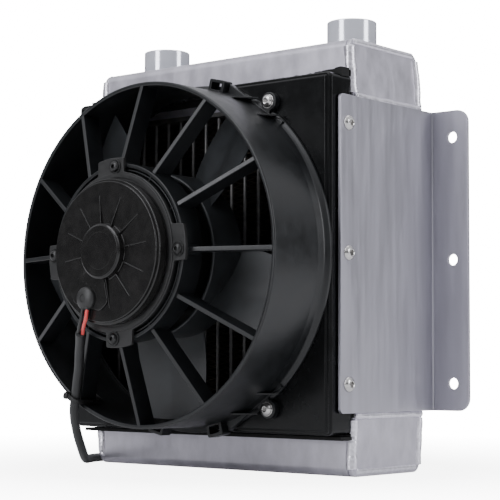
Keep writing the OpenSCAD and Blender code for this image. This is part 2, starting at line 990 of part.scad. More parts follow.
// Tie round the cable and the rib under it, with its head on the outer side
module cable_tie() {
    at_r = 148.5;
    strap = 1.2;
    low = 137.5;
    high = 171.2;
    half = cable_d / 2 + 1;
    off_rib = 0.9;
    color([0.04, 0.04, 0.04])
        fan_frame()
            rotate([0, 0, -120])
                translate([at_r, off_rib, 0]) {
                    difference() {
                        translate([-2.25, -half - strap, low - strap])
                            cube([4.5, 2 * (half + strap), high - low + 2 * strap]);
                        translate([-4, -half, low]) cube([8, 2 * half, high - low]);
                    }
                    translate([-1.5, -half - strap - 5.2, high - 7]) cube([7, 5.5, 7]);
                }
}

module connector_body() {
    length = 30;
    color([0.08, 0.08, 0.09])
        difference() {
            union() {
                translate([plug_x, plug_y - 9, 0.2]) cube([length, 18, 13.6]);
                translate([plug_x + 8, plug_y - 3, 13]) cube([14, 6, 4]);
            }
            translate([plug_x + length - 14, plug_y - 6.5, 2.7]) cube([15, 13, 8.6]);
            translate([plug_x - 1, plug_y, 5.2]) rotate([0, 90, 0]) cylinder(d = cable_d, h = 7);
        }
}

module connector_pins() {
    color("goldenrod")
        for (side = [-1, 1])
            translate([plug_x + 16, plug_y + side * 3.2 - 0.4, plug_z - 1.6]) cube([12, 0.8, 3.2]);
}

module connector_seal() {
    color([0.6, 0.1, 0.08])
        translate([plug_x + 16.2, plug_y - 6.3, 2.9])
            difference() {
                cube([2, 12.6, 8.2]);
                for (side = [-1, 1])
                    translate([-1, 6.3 + side * 3.2 - 0.4, plug_z - 1.6 - 2.9]) cube([4, 0.8, 3.2]);
            }
}

top_tank_shell();
bottom_tank_shell();
top_tank_end_plates();
bottom_tank_end_plates();
top_header();
bottom_header();
pass_baffle();
oil_tubes();
tube_turbulators();
air_fins();
core_side_plates();
weld_beads();
inlet_port();
outlet_port();
bracket_left();
bracket_right();
bracket_screws();
rivet_nuts();
fan_shroud();
shroud_gasket();
fan_housing();
fan_screws();
fan_nuts();
motor_case();
motor_magnets();
motor_cap();
cap_gasket();
motor_screws();
brush_holder();
brushes();
brush_springs();
bearing_outer_rings();
cable_gland();
impeller();
hub_bush();
motor_shaft();
armature_core();
windings();
commutator();
bearing_inner_rings();
hub_nut();
bearing_balls();
ball_cages();
red_wire();
black_wire();
power_cable();
cable_tie();
connector_body();
connector_pins();
connector_seal();
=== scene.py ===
"""Hydraulic oil cooler: the visible pieces, materials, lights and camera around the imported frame."""

import json
import math
import random

import bmesh
import bpy
from mathutils import Matrix, Vector, noise

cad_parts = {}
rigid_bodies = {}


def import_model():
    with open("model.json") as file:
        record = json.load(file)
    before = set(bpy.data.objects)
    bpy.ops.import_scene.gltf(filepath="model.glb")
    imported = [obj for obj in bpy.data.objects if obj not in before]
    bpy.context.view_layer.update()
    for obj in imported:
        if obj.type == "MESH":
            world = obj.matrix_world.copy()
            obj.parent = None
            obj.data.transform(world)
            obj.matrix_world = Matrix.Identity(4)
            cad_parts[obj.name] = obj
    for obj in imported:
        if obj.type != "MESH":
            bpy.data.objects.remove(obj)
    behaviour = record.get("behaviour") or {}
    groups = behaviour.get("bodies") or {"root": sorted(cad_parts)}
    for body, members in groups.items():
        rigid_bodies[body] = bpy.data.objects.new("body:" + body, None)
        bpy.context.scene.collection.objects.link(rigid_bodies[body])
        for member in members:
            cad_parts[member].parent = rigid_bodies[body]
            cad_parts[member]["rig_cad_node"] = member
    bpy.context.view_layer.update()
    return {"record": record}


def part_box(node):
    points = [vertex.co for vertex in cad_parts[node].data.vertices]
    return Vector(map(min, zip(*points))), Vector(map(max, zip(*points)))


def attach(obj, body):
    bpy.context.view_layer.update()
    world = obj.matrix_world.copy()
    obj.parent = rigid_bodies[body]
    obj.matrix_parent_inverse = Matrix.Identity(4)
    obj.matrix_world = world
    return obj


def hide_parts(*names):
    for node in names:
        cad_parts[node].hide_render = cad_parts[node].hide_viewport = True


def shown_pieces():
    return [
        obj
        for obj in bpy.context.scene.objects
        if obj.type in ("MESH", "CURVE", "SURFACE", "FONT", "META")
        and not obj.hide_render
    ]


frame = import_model()

# ---------------------------------------------------------------- sizes, in millimetres
MM = 0.001


def cad(node):
    """Lowest and highest corner of a CAD node, in millimetres."""
    low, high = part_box(node)
    return low / MM, high / MM


tank_low, tank_high = cad("top_tank_end_plates")
foot_high = cad("bottom_tank_end_plates")[1]
shroud_low, shroud_high = cad("fan_shroud")
port_low, port_high = cad("outlet_port")
flange_low, flange_high = cad("bracket_right")
tube_low, tube_high = cad("oil_tubes")
fin_low, fin_high = cad("air_fins")
shaft_low, shaft_high = cad("motor_shaft")

HALF_W = tank_high.x
HALF_D = tank_high.y
TOP_Z = tank_high.z
AXIS_Z = (shaft_low.z + shaft_high.z) / 2
TANK_ROUND = 8.0
WALL = 3.0
END_T = 5.0
END_EDGE = 1.3
TOP_LEAN = 4.5
FOOT_LEAN = 2.5
LEANING_END = 12.0

BRACKET_T = 3.2
BRACKET_FRONT = -flange_low.y
BRACKET_BACK = flange_high.y
HOLE_OUT = 22.0
HOLE_PITCH = 114.3
HOLE_R = 5.25
SCREW_Y = -64.5
ROWS = (-1, 0, 1)

PORT_X = (port_low.x + port_high.x) / 2
PORT_R = (port_high.x - port_low.x) / 2
PORT_BORE = 15.5

TUBES = 18
TUBE_T = 4.5
TUBE_PITCH = (tube_high.x - tube_low.x - TUBE_T) / (TUBES - 1)
FIN_PITCH = 2.6
FIN_T = 0.16

SHEET = 1.5
SHROUD_HALF = shroud_high.x
SHROUD_FACE = -shroud_low.y
SHROUD_BACK = -shroud_high.y
SHROUD_LIP = 5.0
SHROUD_BEND = 5.0
FOAM_PROUD, FOAM_END_RISE = 3.4, 3.0
FOAM_BACK, FOAM_FRONT = 57.0, 68.0
SHROUD_HOLE = 149.0
SHROUD_HALF_H = (shroud_high.z - shroud_low.z) / 2 - SHROUD_LIP

RING_R = 155.0
RING_IN = 151.0
RING_FRONT = 159.0
FLANGE_R = 160.0
EAR = (93.0, 136.5)
EAR_H = 6.5
EAR_R = 8.5
EAR_ROOT_OUT = (109.0, 117.0)
EAR_ROOT_IN = (48.0, 157.0)
GUSSETS = ((67, 141, 14), (94, 123, 11))
GUSSET_T = 1.6
GUSSET_H = 23.5
CLIP_ANGLES = (77, 103, 257, 283)
RIBS = 12
RIB_T = 4.0
RIB_FRONT = 184.0
MOUNT_R = 78.5
MOUNT_FRONT = 187.5
MOUNT_BACK = 163.5
CHANNEL_OUT = 75.3
CHANNEL_IN = 70.3
MOTOR_SCREW_R = 75.5

CAN_R = 52.0
CAN_BACK = 114.0
MOTOR_FLANGE_R = 71.0
MOTOR_FLANGE_H = 3.5
LUG_R = 83.5
CAP_R = 64.0
CAP_BACK = 191.8
CAP_FRONT = 203.5
CAP_RIBS = 12
RIB_UNDER_GLAND = 8
DISC_R = 24.2
DISC_FRONT = 210.5
GLAND = (-20.0, -40.5)
GLAND_R = 10.5
GLAND_BASE = 205.0

HUB_R = 74.5
HUB_BACK = 103.5
HUB_FRONT = 144.0
HUB_WALL = 3.0
TIP_R = 147.0
BLADES = 5
BLADE_T = 2.8

CABLE_D = 8.6
TIE_ANGLE, TIE_AT_R, TIE_OFF_RIB = -120, 148.5, 0.9
TIE_LOW, TIE_HIGH = 137.5, 171.2
WIRE_D = 3.2

COOLER = "cooler"
ROTOR = "fan_rotor"

# Local z is the distance in front of the core; local x and y stay across and up.
FAN = Matrix(((1, 0, 0, 0), (0, 0, -1, 0), (0, 1, 0, AXIS_Z), (0, 0, 0, 1)))
MIRROR_X = Matrix.Scale(-1, 4, Vector((1, 0, 0)))
# Lays a drawn outline in the y, z plane, with its thickness along x.
ACROSS = Matrix(((0, 0, 1, 0), (1, 0, 0, 0), (0, 1, 0, 0), (0, 0, 0, 1)))
SAME_POINT = 0.002


def move(x, y, z):
    return Matrix.Translation(Vector((x, y, z)))


def turn(degrees, axis="Z"):
    return Matrix.Rotation(math.radians(degrees), 4, axis)


# ---------------------------------------------------------------- camera
def make_camera():
    azimuth, elevation, roll = (math.radians(a) for a in (39.97, -4.06, 0.22))
    target = Vector((22.65, -33.5, 205.6)) * MM
    distance = 1.5063
    back = Vector((
        math.sin(azimuth) * math.cos(elevation),
        -math.cos(azimuth) * math.cos(elevation),
        math.sin(elevation),
    ))
    data = bpy.data.cameras.new("camera")
    data.sensor_width = 36
    data.lens = 115.1
    data.clip_end = 20
    camera = bpy.data.objects.new("camera", data)
    bpy.context.scene.collection.objects.link(camera)
    camera.location = target + back * distance
    look = (-back).to_track_quat("-Z", "Y").to_matrix()
    camera.rotation_euler = (look @ Matrix.Rotation(roll, 3, "Z")).to_euler()
    bpy.context.scene.camera = camera


# ---------------------------------------------------------------- materials
class Nodes:
    """Short names for the shader nodes a procedural material is made of."""

    def __init__(self, material):
        material.use_nodes = True
        self.tree = material.node_tree
        self.shader = self.tree.nodes["Principled BSDF"]
        self.where = self.tree.nodes.new("ShaderNodeTexCoord").outputs["Object"]

    def link(self, a, b):
        self.tree.links.new(a, b)

    def stretched(self, scale):
        node = self.tree.nodes.new("ShaderNodeMapping")
        node.inputs["Scale"].default_value = scale
        self.link(self.where, node.inputs["Vector"])
        return node.outputs["Vector"]

    def noise(self, size_mm, detail=3, stretch=(1, 1, 1), rough=0.55):
        node = self.tree.nodes.new("ShaderNodeTexNoise")
        node.inputs["Scale"].default_value = 1 / (size_mm * MM)
        node.inputs["Detail"].default_value = detail
        node.inputs["Roughness"].default_value = rough
        self.link(self.stretched(stretch), node.inputs["Vector"])
        return node.outputs["Fac"]

    def ramp(self, value, low, high, a, b):
        node = self.tree.nodes.new("ShaderNodeMapRange")
        node.inputs["From Min"].default_value = low
        node.inputs["From Max"].default_value = high
        node.inputs["To Min"].default_value = a
        node.inputs["To Max"].default_value = b
        self.link(value, node.inputs["Value"])
        return node.outputs["Result"]

    def tone(self, value, dark, light):
        node = self.tree.nodes.new("ShaderNodeMix")
        node.data_type = "RGBA"
        node.inputs["A"].default_value = (*dark, 1)
        node.inputs["B"].default_value = (*light, 1)
        self.link(value, node.inputs["Factor"])
        return node.outputs["Result"]

    def bump(self, heights):
        """Chains (value, depth in mm) pairs into one normal."""
        last = None
        for value, depth in heights:
            node = self.tree.nodes.new("ShaderNodeBump")
            node.inputs["Distance"].default_value = depth * MM
            node.inputs["Strength"].default_value = 1
            self.link(value, node.inputs["Height"])
            if last is not None:
                self.link(last, node.inputs["Normal"])
            last = node.outputs["Normal"]
        self.link(last, self.shader.inputs["Normal"])


def finish(name, *, dark, light, rough, metallic=0.0, mottle=30, grain=0.6, depth=0.02,
           stretch=(1, 1, 1), coat=0.0, specular=0.5, wear=0.0):
    """A surface whose tone, gloss and relief all vary: mottle and grain are pattern sizes in mm."""
    material = bpy.data.materials.new(name)
    n = Nodes(material)
    shader = n.shader
    shader.inputs["Metallic"].default_value = metallic
    shader.inputs["Specular IOR Level"].default_value = specular
    shader.inputs["Coat Weight"].default_value = coat
    shader.inputs["Coat Roughness"].default_value = 0.25
    broad = n.ramp(n.noise(mottle, 4, stretch), 0.3, 0.7, 0, 1)
    fine = n.noise(grain, 2, stretch)
    n.link(n.tone(broad, dark, light), shader.inputs["Base Color"])
    gloss = n.ramp(broad, 0, 1, rough - 0.05, rough + 0.05)
    if wear:
        scuff = n.ramp(n.noise(mottle / 3, 5, (1, 1, 0.25)), 0.6, 0.72, 0, wear)
        add = n.tree.nodes.new("ShaderNodeMath")
        add.operation = "ADD"
        n.link(gloss, add.inputs[0])
        n.link(scuff, add.inputs[1])
        gloss = add.outputs["Value"]
    n.link(gloss, shader.inputs["Roughness"])
    n.bump([(fine, depth), (broad, depth * 2)])
    return material


def grey(value, tint=0.0):
    """A grey that leans to blue for a positive tint and to brown for a negative one."""
    return (value * (1 - tint), value, value * (1 + tint))


SHADES = {
    "tank_aluminium": dict(dark=(0.50, 0.485, 0.54), light=(0.64, 0.62, 0.69), rough=0.42, metallic=0.85,
        mottle=14, grain=0.5, depth=0.012, stretch=(1, 1, 0.6), wear=0.1),
    "bracket_aluminium": dict(dark=(0.46, 0.45, 0.50), light=(0.51, 0.50, 0.56), rough=0.40, metallic=0.9,
        mottle=9, grain=0.35, depth=0.01, stretch=(1, 1, 0.08), wear=0.08),
    "port_aluminium": dict(dark=(0.84, 0.86, 0.95), light=(0.90, 0.91, 0.98), rough=0.16, metallic=0.55,
        mottle=20, grain=0.3, depth=0.004, stretch=(0.1, 0.1, 3)),
    "weld_metal": dict(dark=(0.72, 0.7, 0.76), light=(0.88, 0.86, 0.93), rough=0.34, metallic=0.95,
        mottle=3, grain=0.4, depth=0.03),
    "core_aluminium": dict(dark=grey(0.13), light=grey(0.2, -0.03), rough=0.42, metallic=0.85, mottle=10,
        grain=0.5, depth=0.02),
    "fin_aluminium": dict(dark=(0.05, 0.042, 0.03), light=(0.12, 0.1, 0.075), rough=0.5, metallic=0.7,
        mottle=6, grain=0.4, depth=0.02),
    "stainless_screw": dict(dark=grey(0.50, -0.02), light=grey(0.62, -0.02), rough=0.22, metallic=1.0,
        mottle=3, grain=0.25, depth=0.004),
    "black_oxide_steel": dict(dark=grey(0.02), light=grey(0.05), rough=0.35, metallic=0.8, mottle=3,
        grain=0.3, depth=0.006),
    "zinc_steel": dict(dark=grey(0.45), light=grey(0.6), rough=0.35, metallic=1.0, mottle=4, grain=0.3,
        depth=0.006),
    "shroud_paint": dict(dark=grey(0.003, 0.05), light=grey(0.004, 0.1), rough=0.24, mottle=16, grain=0.8,
        depth=0.008, specular=0.25),
    "fan_plastic": dict(dark=grey(0.007, 0.08), light=grey(0.010, 0.12), rough=0.33, mottle=14,
        grain=0.45, depth=0.008, wear=0.05, specular=0.45),
    "impeller_plastic": dict(dark=grey(0.020, 0.06), light=grey(0.030, 0.1), rough=0.42, mottle=18,
        grain=0.5, depth=0.008),
    "motor_paint": dict(dark=grey(0.010), light=grey(0.016), rough=0.4, mottle=10, grain=0.5,
        depth=0.015),
    "cap_plastic": dict(dark=grey(0.007, -0.02), light=grey(0.010, -0.04), rough=0.2, mottle=9, grain=0.4,
        depth=0.004, specular=0.4),
    "gasket_foam": dict(dark=grey(0.01), light=grey(0.02), rough=0.85, mottle=5, grain=0.6, depth=0.08,
        specular=0.2),
    "black_rubber": dict(dark=grey(0.008), light=grey(0.014), rough=0.45, mottle=4, grain=0.3,
        depth=0.012),
    "magnet_ferrite": dict(dark=grey(0.05), light=grey(0.08), rough=0.6, mottle=4, grain=0.4, depth=0.02),
    "board_plastic": dict(dark=(0.16, 0.11, 0.05), light=(0.24, 0.17, 0.09), rough=0.5, mottle=5,
        grain=0.5, depth=0.02),
    "brush_carbon": dict(dark=grey(0.02), light=grey(0.04), rough=0.6, mottle=2, grain=0.3, depth=0.02),
    "lamination_steel": dict(dark=grey(0.2), light=grey(0.35), rough=0.4, metallic=1.0, mottle=3,
        grain=0.5, depth=0.02, stretch=(0.1, 4, 0.1)),
    "winding_copper": dict(dark=(0.30, 0.09, 0.03), light=(0.45, 0.16, 0.06), rough=0.3, metallic=0.8,
        mottle=2, grain=0.6, depth=0.1),
    "commutator_copper": dict(dark=(0.45, 0.2, 0.09), light=(0.6, 0.3, 0.15), rough=0.3, metallic=1.0,
        mottle=3, grain=0.3, depth=0.01),
    "bearing_steel": dict(dark=grey(0.6), light=grey(0.7), rough=0.15, metallic=1.0, mottle=5, grain=0.3,
        depth=0.003),
    "cage_brass": dict(dark=(0.5, 0.34, 0.1), light=(0.65, 0.46, 0.16), rough=0.3, metallic=1.0, mottle=3,
        grain=0.3, depth=0.006),
    "red_insulation": dict(dark=(0.62, 0.05, 0.05), light=(0.75, 0.09, 0.08), rough=0.35, mottle=4,
        grain=0.3, depth=0.006, coat=0.2),
    "black_insulation": dict(dark=grey(0.01), light=grey(0.016), rough=0.35, mottle=4, grain=0.3,
        depth=0.006),
    "cable_jacket": dict(dark=grey(0.014), light=grey(0.022, 0.04), rough=0.48, mottle=7, grain=0.35,
        depth=0.015),
    "tie_nylon": dict(dark=grey(0.008), light=grey(0.014), rough=0.3, mottle=3, grain=0.3, depth=0.006),
    "connector_plastic": dict(dark=grey(0.012), light=grey(0.02), rough=0.45, mottle=6, grain=0.35,
        depth=0.012),
    "terminal_brass": dict(dark=(0.55, 0.42, 0.18), light=(0.7, 0.55, 0.25), rough=0.25, metallic=1.0,
        mottle=2, grain=0.2, depth=0.004),
    "seal_silicone": dict(dark=(0.4, 0.05, 0.03), light=(0.5, 0.08, 0.05), rough=0.5, mottle=3, grain=0.3,
        depth=0.01),
}
materials = {name: finish(name, **settings) for name, settings in SHADES.items()}


# ---------------------------------------------------------------- shapes
class Shape:
    """Points and faces in millimetres, gathered before they become one piece."""

    def __init__(self):
        self.points = []
        self.faces = []

    def add(self, points, faces, place=None):
        start = len(self.points)
        flip = place is not None and place.determinant() < 0
        self.points += [place @ Vector(p) if place else Vector(p) for p in points]
        for face in faces:
            face = [start + i for i in face]
            self.faces.append(face[::-1] if flip else face)

    def include(self, other, place=None):
        self.add(other.points, other.faces, place)


def piece(name, shape, slot, replaces=(), body=COOLER, smooth=35, place=None):
    """Turns a shape into an object that rides on a body; its edges sharper than smooth stay sharp."""
    whole = Shape()
    whole.include(shape, place)
    mesh = bpy.data.meshes.new(name)
    mesh.from_pydata([p * MM for p in whole.points], [], whole.faces)
    bm = bmesh.new()
    bm.from_mesh(mesh)
    bmesh.ops.remove_doubles(bm, verts=bm.verts, dist=SAME_POINT * MM)
    bmesh.ops.dissolve_degenerate(bm, edges=bm.edges, dist=SAME_POINT / 2 * MM)
    bmesh.ops.recalc_face_normals(bm, faces=bm.faces)
    bm.to_mesh(mesh)
    bm.free()
    mesh.shade_smooth()
    mesh.set_sharp_from_angle(angle=math.radians(smooth))
    mesh.materials.append(materials[slot])
    thing = bpy.data.objects.new(name, mesh)
    bpy.context.scene.collection.objects.link(thing)
    flat = thing.modifiers.new("flat faces", "WEIGHTED_NORMAL")
    flat.keep_sharp = True
    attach(thing, body)
    if replaces:
        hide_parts(*replaces)
    return thing


def grid(rows, cols, wrap_rows=False, wrap_cols=False):
    """Faces of a rows by cols grid of points."""
    return [
        (i * cols + j, i * cols + (j + 1) % cols,
         (i + 1) % rows * cols + (j + 1) % cols, (i + 1) % rows * cols + j)
        for i in range(rows if wrap_rows else rows - 1)
        for j in range(cols if wrap_cols else cols - 1)
    ]


def arc(cx, cy, r, start, end, steps):
    return [
        (cx + r * math.cos(a), cy + r * math.sin(a))
        for a in (math.radians(start + (end - start) * k / steps) for k in range(steps + 1))
    ]


def circle(cx, cy, r, steps=48):
    return arc(cx, cy, r, 0, 360, steps)[:-1]


def fillet(points, radius, steps=5):
    """A closed outline with its corners rounded; radius is one number or one for each corner."""
    rounded = []
    for i, point in enumerate(points):
        r = radius[i] if isinstance(radius, (list, tuple)) else radius
        corner = Vector(point)
        before = Vector(points[i - 1]) - corner
        after = Vector(points[(i + 1) % len(points)]) - corner
        if r <= 0:
            rounded.append(tuple(corner))
            continue
        half = before.angle(after) / 2
        cut = min(r / math.tan(half), 0.49 * before.length, 0.49 * after.length)
        r = cut * math.tan(half)
        before.normalize()
        after.normalize()
        centre = corner + (before + after).normalized() * (r / math.sin(half))
        a = corner + before * cut - centre
        b = corner + after * cut - centre
        sweep = math.pi - 2 * half
        for k in range(steps + 1):
            t = k / steps
            v = (a * math.sin((1 - t) * sweep) + b * math.sin(t * sweep)) / math.sin(sweep)
            rounded.append(tuple(centre + v))
    return rounded


def lathe(profile, steps=96):
    """Turns a closed (r, z) outline round the z axis."""
    shape = Shape()
    points = [
        (r * math.cos(a), r * math.sin(a), z)
        for a in (2 * math.pi * k / steps for k in range(steps))
        for r, z in profile
    ]
    shape.add(points, grid(steps, len(profile), wrap_rows=True, wrap_cols=True))
    return shape


def ring(r_out, r_in, low, high, edge=0.5, steps=96):
    return lathe(fillet([(r_in, low), (r_out, low), (r_out, high), (r_in, high)], edge, 3), steps)


def plate(loops, thickness, edge=0.4):
    """A flat plate from z = 0 to its thickness; the first loop is its outline and the rest are holes."""
    curve = bpy.data.curves.new("outline", "CURVE")
    curve.dimensions = "2D"
    curve.fill_mode = "BOTH"
    curve.extrude = thickness / 2 - edge
    curve.bevel_depth = edge
    curve.bevel_resolution = 2
    curve.offset = -edge
    for loop in loops:
        spline = curve.splines.new("POLY")
        spline.points.add(len(loop) - 1)
        for point, (x, y) in zip(spline.points, loop):
            point.co = (x, y, 0, 1)
        spline.use_cyclic_u = True
    holder = bpy.data.objects.new("outline", curve)
    bpy.context.scene.collection.objects.link(holder)
    mesh = holder.evaluated_get(bpy.context.evaluated_depsgraph_get()).to_mesh()
    shape = Shape()
    shape.add([v.co for v in mesh.vertices], [tuple(f.vertices) for f in mesh.polygons],
              move(0, 0, thickness / 2))
    holder.to_mesh_clear()
    bpy.data.objects.remove(holder)
    bpy.data.curves.remove(curve)
    return shape


def block(low, high, edge=0.4):
    """A box with its upright corners and its rims eased."""
    (x0, y0, z0), (x1, y1, z1) = low, high
    outline = fillet([(x0, y0), (x1, y0), (x1, y1), (x0, y1)], min(edge * 2, (x1 - x0) / 3), 3)
    shape = Shape()
    shape.include(plate([outline], z1 - z0, edge), move(0, 0, z0))
    return shape


def smooth_path(route, steps):
    """Catmull-Rom points through a route, the same curve as the CAD cable follows."""
    out = []
    for i in range(len(route) - 1):
        a, b = route[max(i - 1, 0)], route[i]
        c, d = route[i + 1], route[min(i + 2, len(route) - 1)]
        for s in range(steps):
            t = s / steps
            out.append(0.5 * (2 * b + (c - a) * t + (2 * a - 5 * b + 4 * c - d) * t * t
                              + (3 * b - 3 * c + d - a) * t ** 3))
    out.append(route[-1])
    return out


def sweep(path, radius, sides=16):
    """A closed tube along a path; radius is a number or a function of (step, angle)."""
    shape = Shape()
    points = []
    up = Vector((0.31, 0.2, 0.93))
    for i, p in enumerate(path):
        ahead = (path[min(i + 1, len(path) - 1)] - path[max(i - 1, 0)]).normalized()
        up = (up - ahead * up.dot(ahead)).normalized()
        side = ahead.cross(up)
        for k in range(sides):
            a = 2 * math.pi * k / sides
            r = radius(i, a) if callable(radius) else radius
            points.append(p + (side * math.cos(a) + up * math.sin(a)) * r)
    faces = grid(len(path), sides, wrap_cols=True)
    faces.append(tuple(range(sides))[::-1])
    faces.append(tuple((len(path) - 1) * sides + k for k in range(sides)))
    shape.add(points, faces)
    return shape


def weld_bead(start, end, radius, seed, lumps=1.0):
    """A lumpy bead of weld metal: overlapping ripples with uneven width."""
    start, end = Vector(start), Vector(end)
    length = (end - start).length
    ripple = 4.2
    steps = max(8, int(length / 0.45))
    draw = random.Random(seed)
    phase = draw.random() * 10

    def at(i, a):
        along = length * i / steps
        wave = abs(math.sin(math.pi * (along / ripple + 0.12 * math.cos(a))))
        lump = noise.noise(Vector((along * 0.09 + phase, math.cos(a), math.sin(a) + seed)))
        taper = min(1.0, 0.5 + along / 2.5, 0.5 + (length - along) / 2.5)
        return radius * taper * (0.95 + lumps * (0.03 * wave + 0.2 * lump))

    path = [
        start.lerp(end, i / steps) + Vector((draw.uniform(-1, 1), draw.uniform(-1, 1), 0)) * 0.05
        for i in range(steps + 1)
    ]
    return sweep(path, at, 14)


def ring_bead(x, radius, thickness, seed):
    """A weld bead that runs round a port on the upper tank."""
    steps = 150
    path_r = radius + thickness * 0.3
    points = []
    sides = 12
    for i in range(steps):
        turn_at = 2 * math.pi * i / steps
        wave = abs(math.sin(turn_at * path_r / 2.6 * math.pi / 2))
        for k in range(sides):
            a = 2 * math.pi * k / sides
            lump = noise.noise(Vector((math.cos(turn_at) * 3 + seed, math.sin(turn_at) * 3, a)))
            r = thickness * (0.85 + 0.12 * wave + 0.15 * lump)
            out = path_r + r * math.cos(a)
            points.append((x + out * math.cos(turn_at), out * math.sin(turn_at),
                           TOP_Z + r * math.sin(a)))
    shape = Shape()
    shape.add(points, grid(steps, sides, wrap_rows=True, wrap_cols=True))
    return shape


# ---------------------------------------------------------------- cable
CABLE_ROUTE = [Vector(p) for p in (
    (-33.2, -199.5, 125), (-41.2, -191.6, 117), (-49, -184.8, 108), (-57.8, -176.8, 95),
    (-65.6, -171.2, 82), (-72.2, -166.4, 69), (-75.6, -164.8, 61), (-82, -159, 53),
    (-91.6, -148.2, 43), (-103.6, -132.8, 30), (-117.8, -113.4, 16), (-133, -95.5, 8.8),
    (-147.6, -78.5, 5.1), (-160.5, -60.5, 4.4), (-168, -41, 4.4), (-171, -15, 4.4),
    (-171, 14, 4.4), (-168, 42, 4.4), (-159, 66, 4.4), (-142, 84, 4.4), (-118, 93.5, 4.4),
    (-92, 95.5, 4.4), (-66, 95.5, 4.7), (-45, 95.5, 5.2),
)]
RED_ROUTE = [Vector(p) for p in (
    (-17, -206.7, 147), (-17, -207.8, 142), (-18.5, -207.2, 137), (-22.8, -205, 132),
    (-27.6, -201.4, 128), (-32, -197.6, 124.2),
)]
BLACK_ROUTE = [Vector(p) for p in (
    (-22.2, -206.7, 147), (-22.7, -207.8, 142), (-24.3, -207.2, 137), (-28, -205.2, 132.5),
    (-31.6, -202.6, 128.6), (-35.2, -199.8, 124.2),
)]


def make_cable():
    """The jacketed cable from the motor's leads to its plug."""
    path = smooth_path(CABLE_ROUTE, 4)
    curve = bpy.data.curves.new("power_cable_run", "CURVE")
    curve.dimensions = "3D"
    curve.bevel_depth = CABLE_D / 2 * MM
    curve.bevel_resolution = 6
    curve.use_fill_caps = True
    spline = curve.splines.new("POLY")
    spline.points.add(len(path) - 1)
    for point, p in zip(spline.points, path):
        point.co = (*(p * MM), 1)
    spline.use_smooth = True
    cable = bpy.data.objects.new("power_cable_run", curve)
    bpy.context.scene.collection.objects.link(cable)
    curve.materials.append(materials["cable_jacket"])
    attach(cable, COOLER)
    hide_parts("power_cable")


def make_leads():
    for name, route, slot in (("red_lead", RED_ROUTE, "red_insulation"),
                              ("black_lead", BLACK_ROUTE, "black_insulation")):
        node = name.replace("lead", "wire")
        piece(name, sweep(smooth_path(route, 8), WIRE_D / 2), slot, [node], smooth=60)


# ---------------------------------------------------------------- tanks and core
def tank_profile(height):
    """Tank outline in y and z, open edge at z = 0, with rounded long edges."""
    return fillet([(-HALF_D, 0), (HALF_D, 0), (HALF_D, height), (-HALF_D, height)],
                  [0, 0, TANK_ROUND, TANK_ROUND], 7)


def extrude_x(outline, x0, x1):
    """A closed (y, z) outline run along x."""
    shape = Shape()
    count = len(outline)
    points = [(x, y, z) for x in (x0, x1) for y, z in outline]
    faces = grid(2, count, wrap_cols=True)
    faces += [tuple(range(count))[::-1], tuple(range(count, 2 * count))]
    shape.add(points, faces)
    return shape


def lean_in(shape):
    """Draws the tanks' ends in a little towards the top of the upper one and the foot of the lower."""
    for p in shape.points:
        if abs(p.x) > HALF_W - LEANING_END:
            up = max(0.0, (p.z - tank_low.z) / (TOP_Z - tank_low.z))
            down = max(0.0, (foot_high.z - p.z) / foot_high.z)
            p.x -= math.copysign(TOP_LEAN * up + FOOT_LEAN * down, p.x)
    return shape


def tank(name, base, direction, height, shell_node, end_node):
    """One tank: a bent sheet with open ends, and two end plates welded on."""
    place = move(0, 0, base) @ Matrix.Scale(direction, 4, Vector((0, 0, 1)))
    outer = tank_profile(height)
    path = [(HALF_D, 0)] + [p for p in outer if p[1] != 0] + [(-HALF_D, 0)]
    inside = [(y * (HALF_D - WALL) / HALF_D, z * (height - WALL) / height) for y, z in path]
    sheet = Shape()
    sheet.include(extrude_x(path + inside[::-1], END_T - HALF_W, HALF_W - END_T), place)
    piece(name + "_sheet", lean_in(sheet), "tank_aluminium", [shell_node], smooth=40)
    ends = Shape()
    flat = plate([outer], END_T, END_EDGE)
    for side in (-1, 1):
        ends.include(flat, place @ move(side * (HALF_W - END_T / 2) - END_T / 2, 0, 0) @ ACROSS)
    piece(name + "_ends", lean_in(ends), "tank_aluminium", [end_node], smooth=50)


def make_tanks():
    tank("top_tank", tank_low.z, 1, TOP_Z - tank_low.z, "top_tank_shell", "top_tank_end_plates")
    tank("bottom_tank", foot_high.z, -1, foot_high.z, "bottom_tank_shell", "bottom_tank_end_plates")


def make_welds():
    """Corner, seam, rim, back and port beads."""
    beads = Shape()
    inset, out, stop = 2.6, 1.2, 6
    corner_r, seam_r, rim_r, back_r, port_r = 5.2, 3.4, 3.2, 1.6, 1.9
    seed = 0
    for x in (-HALF_W + inset, HALF_W - inset):
        side = math.copysign(1, x)
        for y in (-HALF_D + inset, HALF_D - inset):
            for z0, z1 in ((stop, foot_high.z - 1), (tank_low.z + 1, TOP_Z - stop)):
                seed += 1
                beads.include(weld_bead((x, y, z0), (x, y, z1), corner_r, seed))
        for z in (foot_high.z + 1.5, tank_low.z - 0.5):
            seed += 1
            at = x + side * inset
            beads.include(weld_bead((at, -HALF_D + 1, z), (at, HALF_D - 1, z), seam_r, seed))
        for z in (4.8, TOP_Z - 2.4):
            seed += 1
            at = x + side * out
            beads.include(weld_bead((at, stop - HALF_D, z), (at, HALF_D - stop, z), rim_r, seed, 0.3))
    for z in (foot_high.z, tank_low.z):
        seed += 1
        back = HALF_D - 0.6
        beads.include(weld_bead((-HALF_W, back, z), (HALF_W, back, z), back_r, seed))
    lean_in(beads)
    for side in (-1, 1):
        seed += 1
        beads.include(ring_bead(side * PORT_X, PORT_R, port_r, seed))
    piece("weld_seams", beads, "weld_metal", ["weld_beads"], smooth=70)


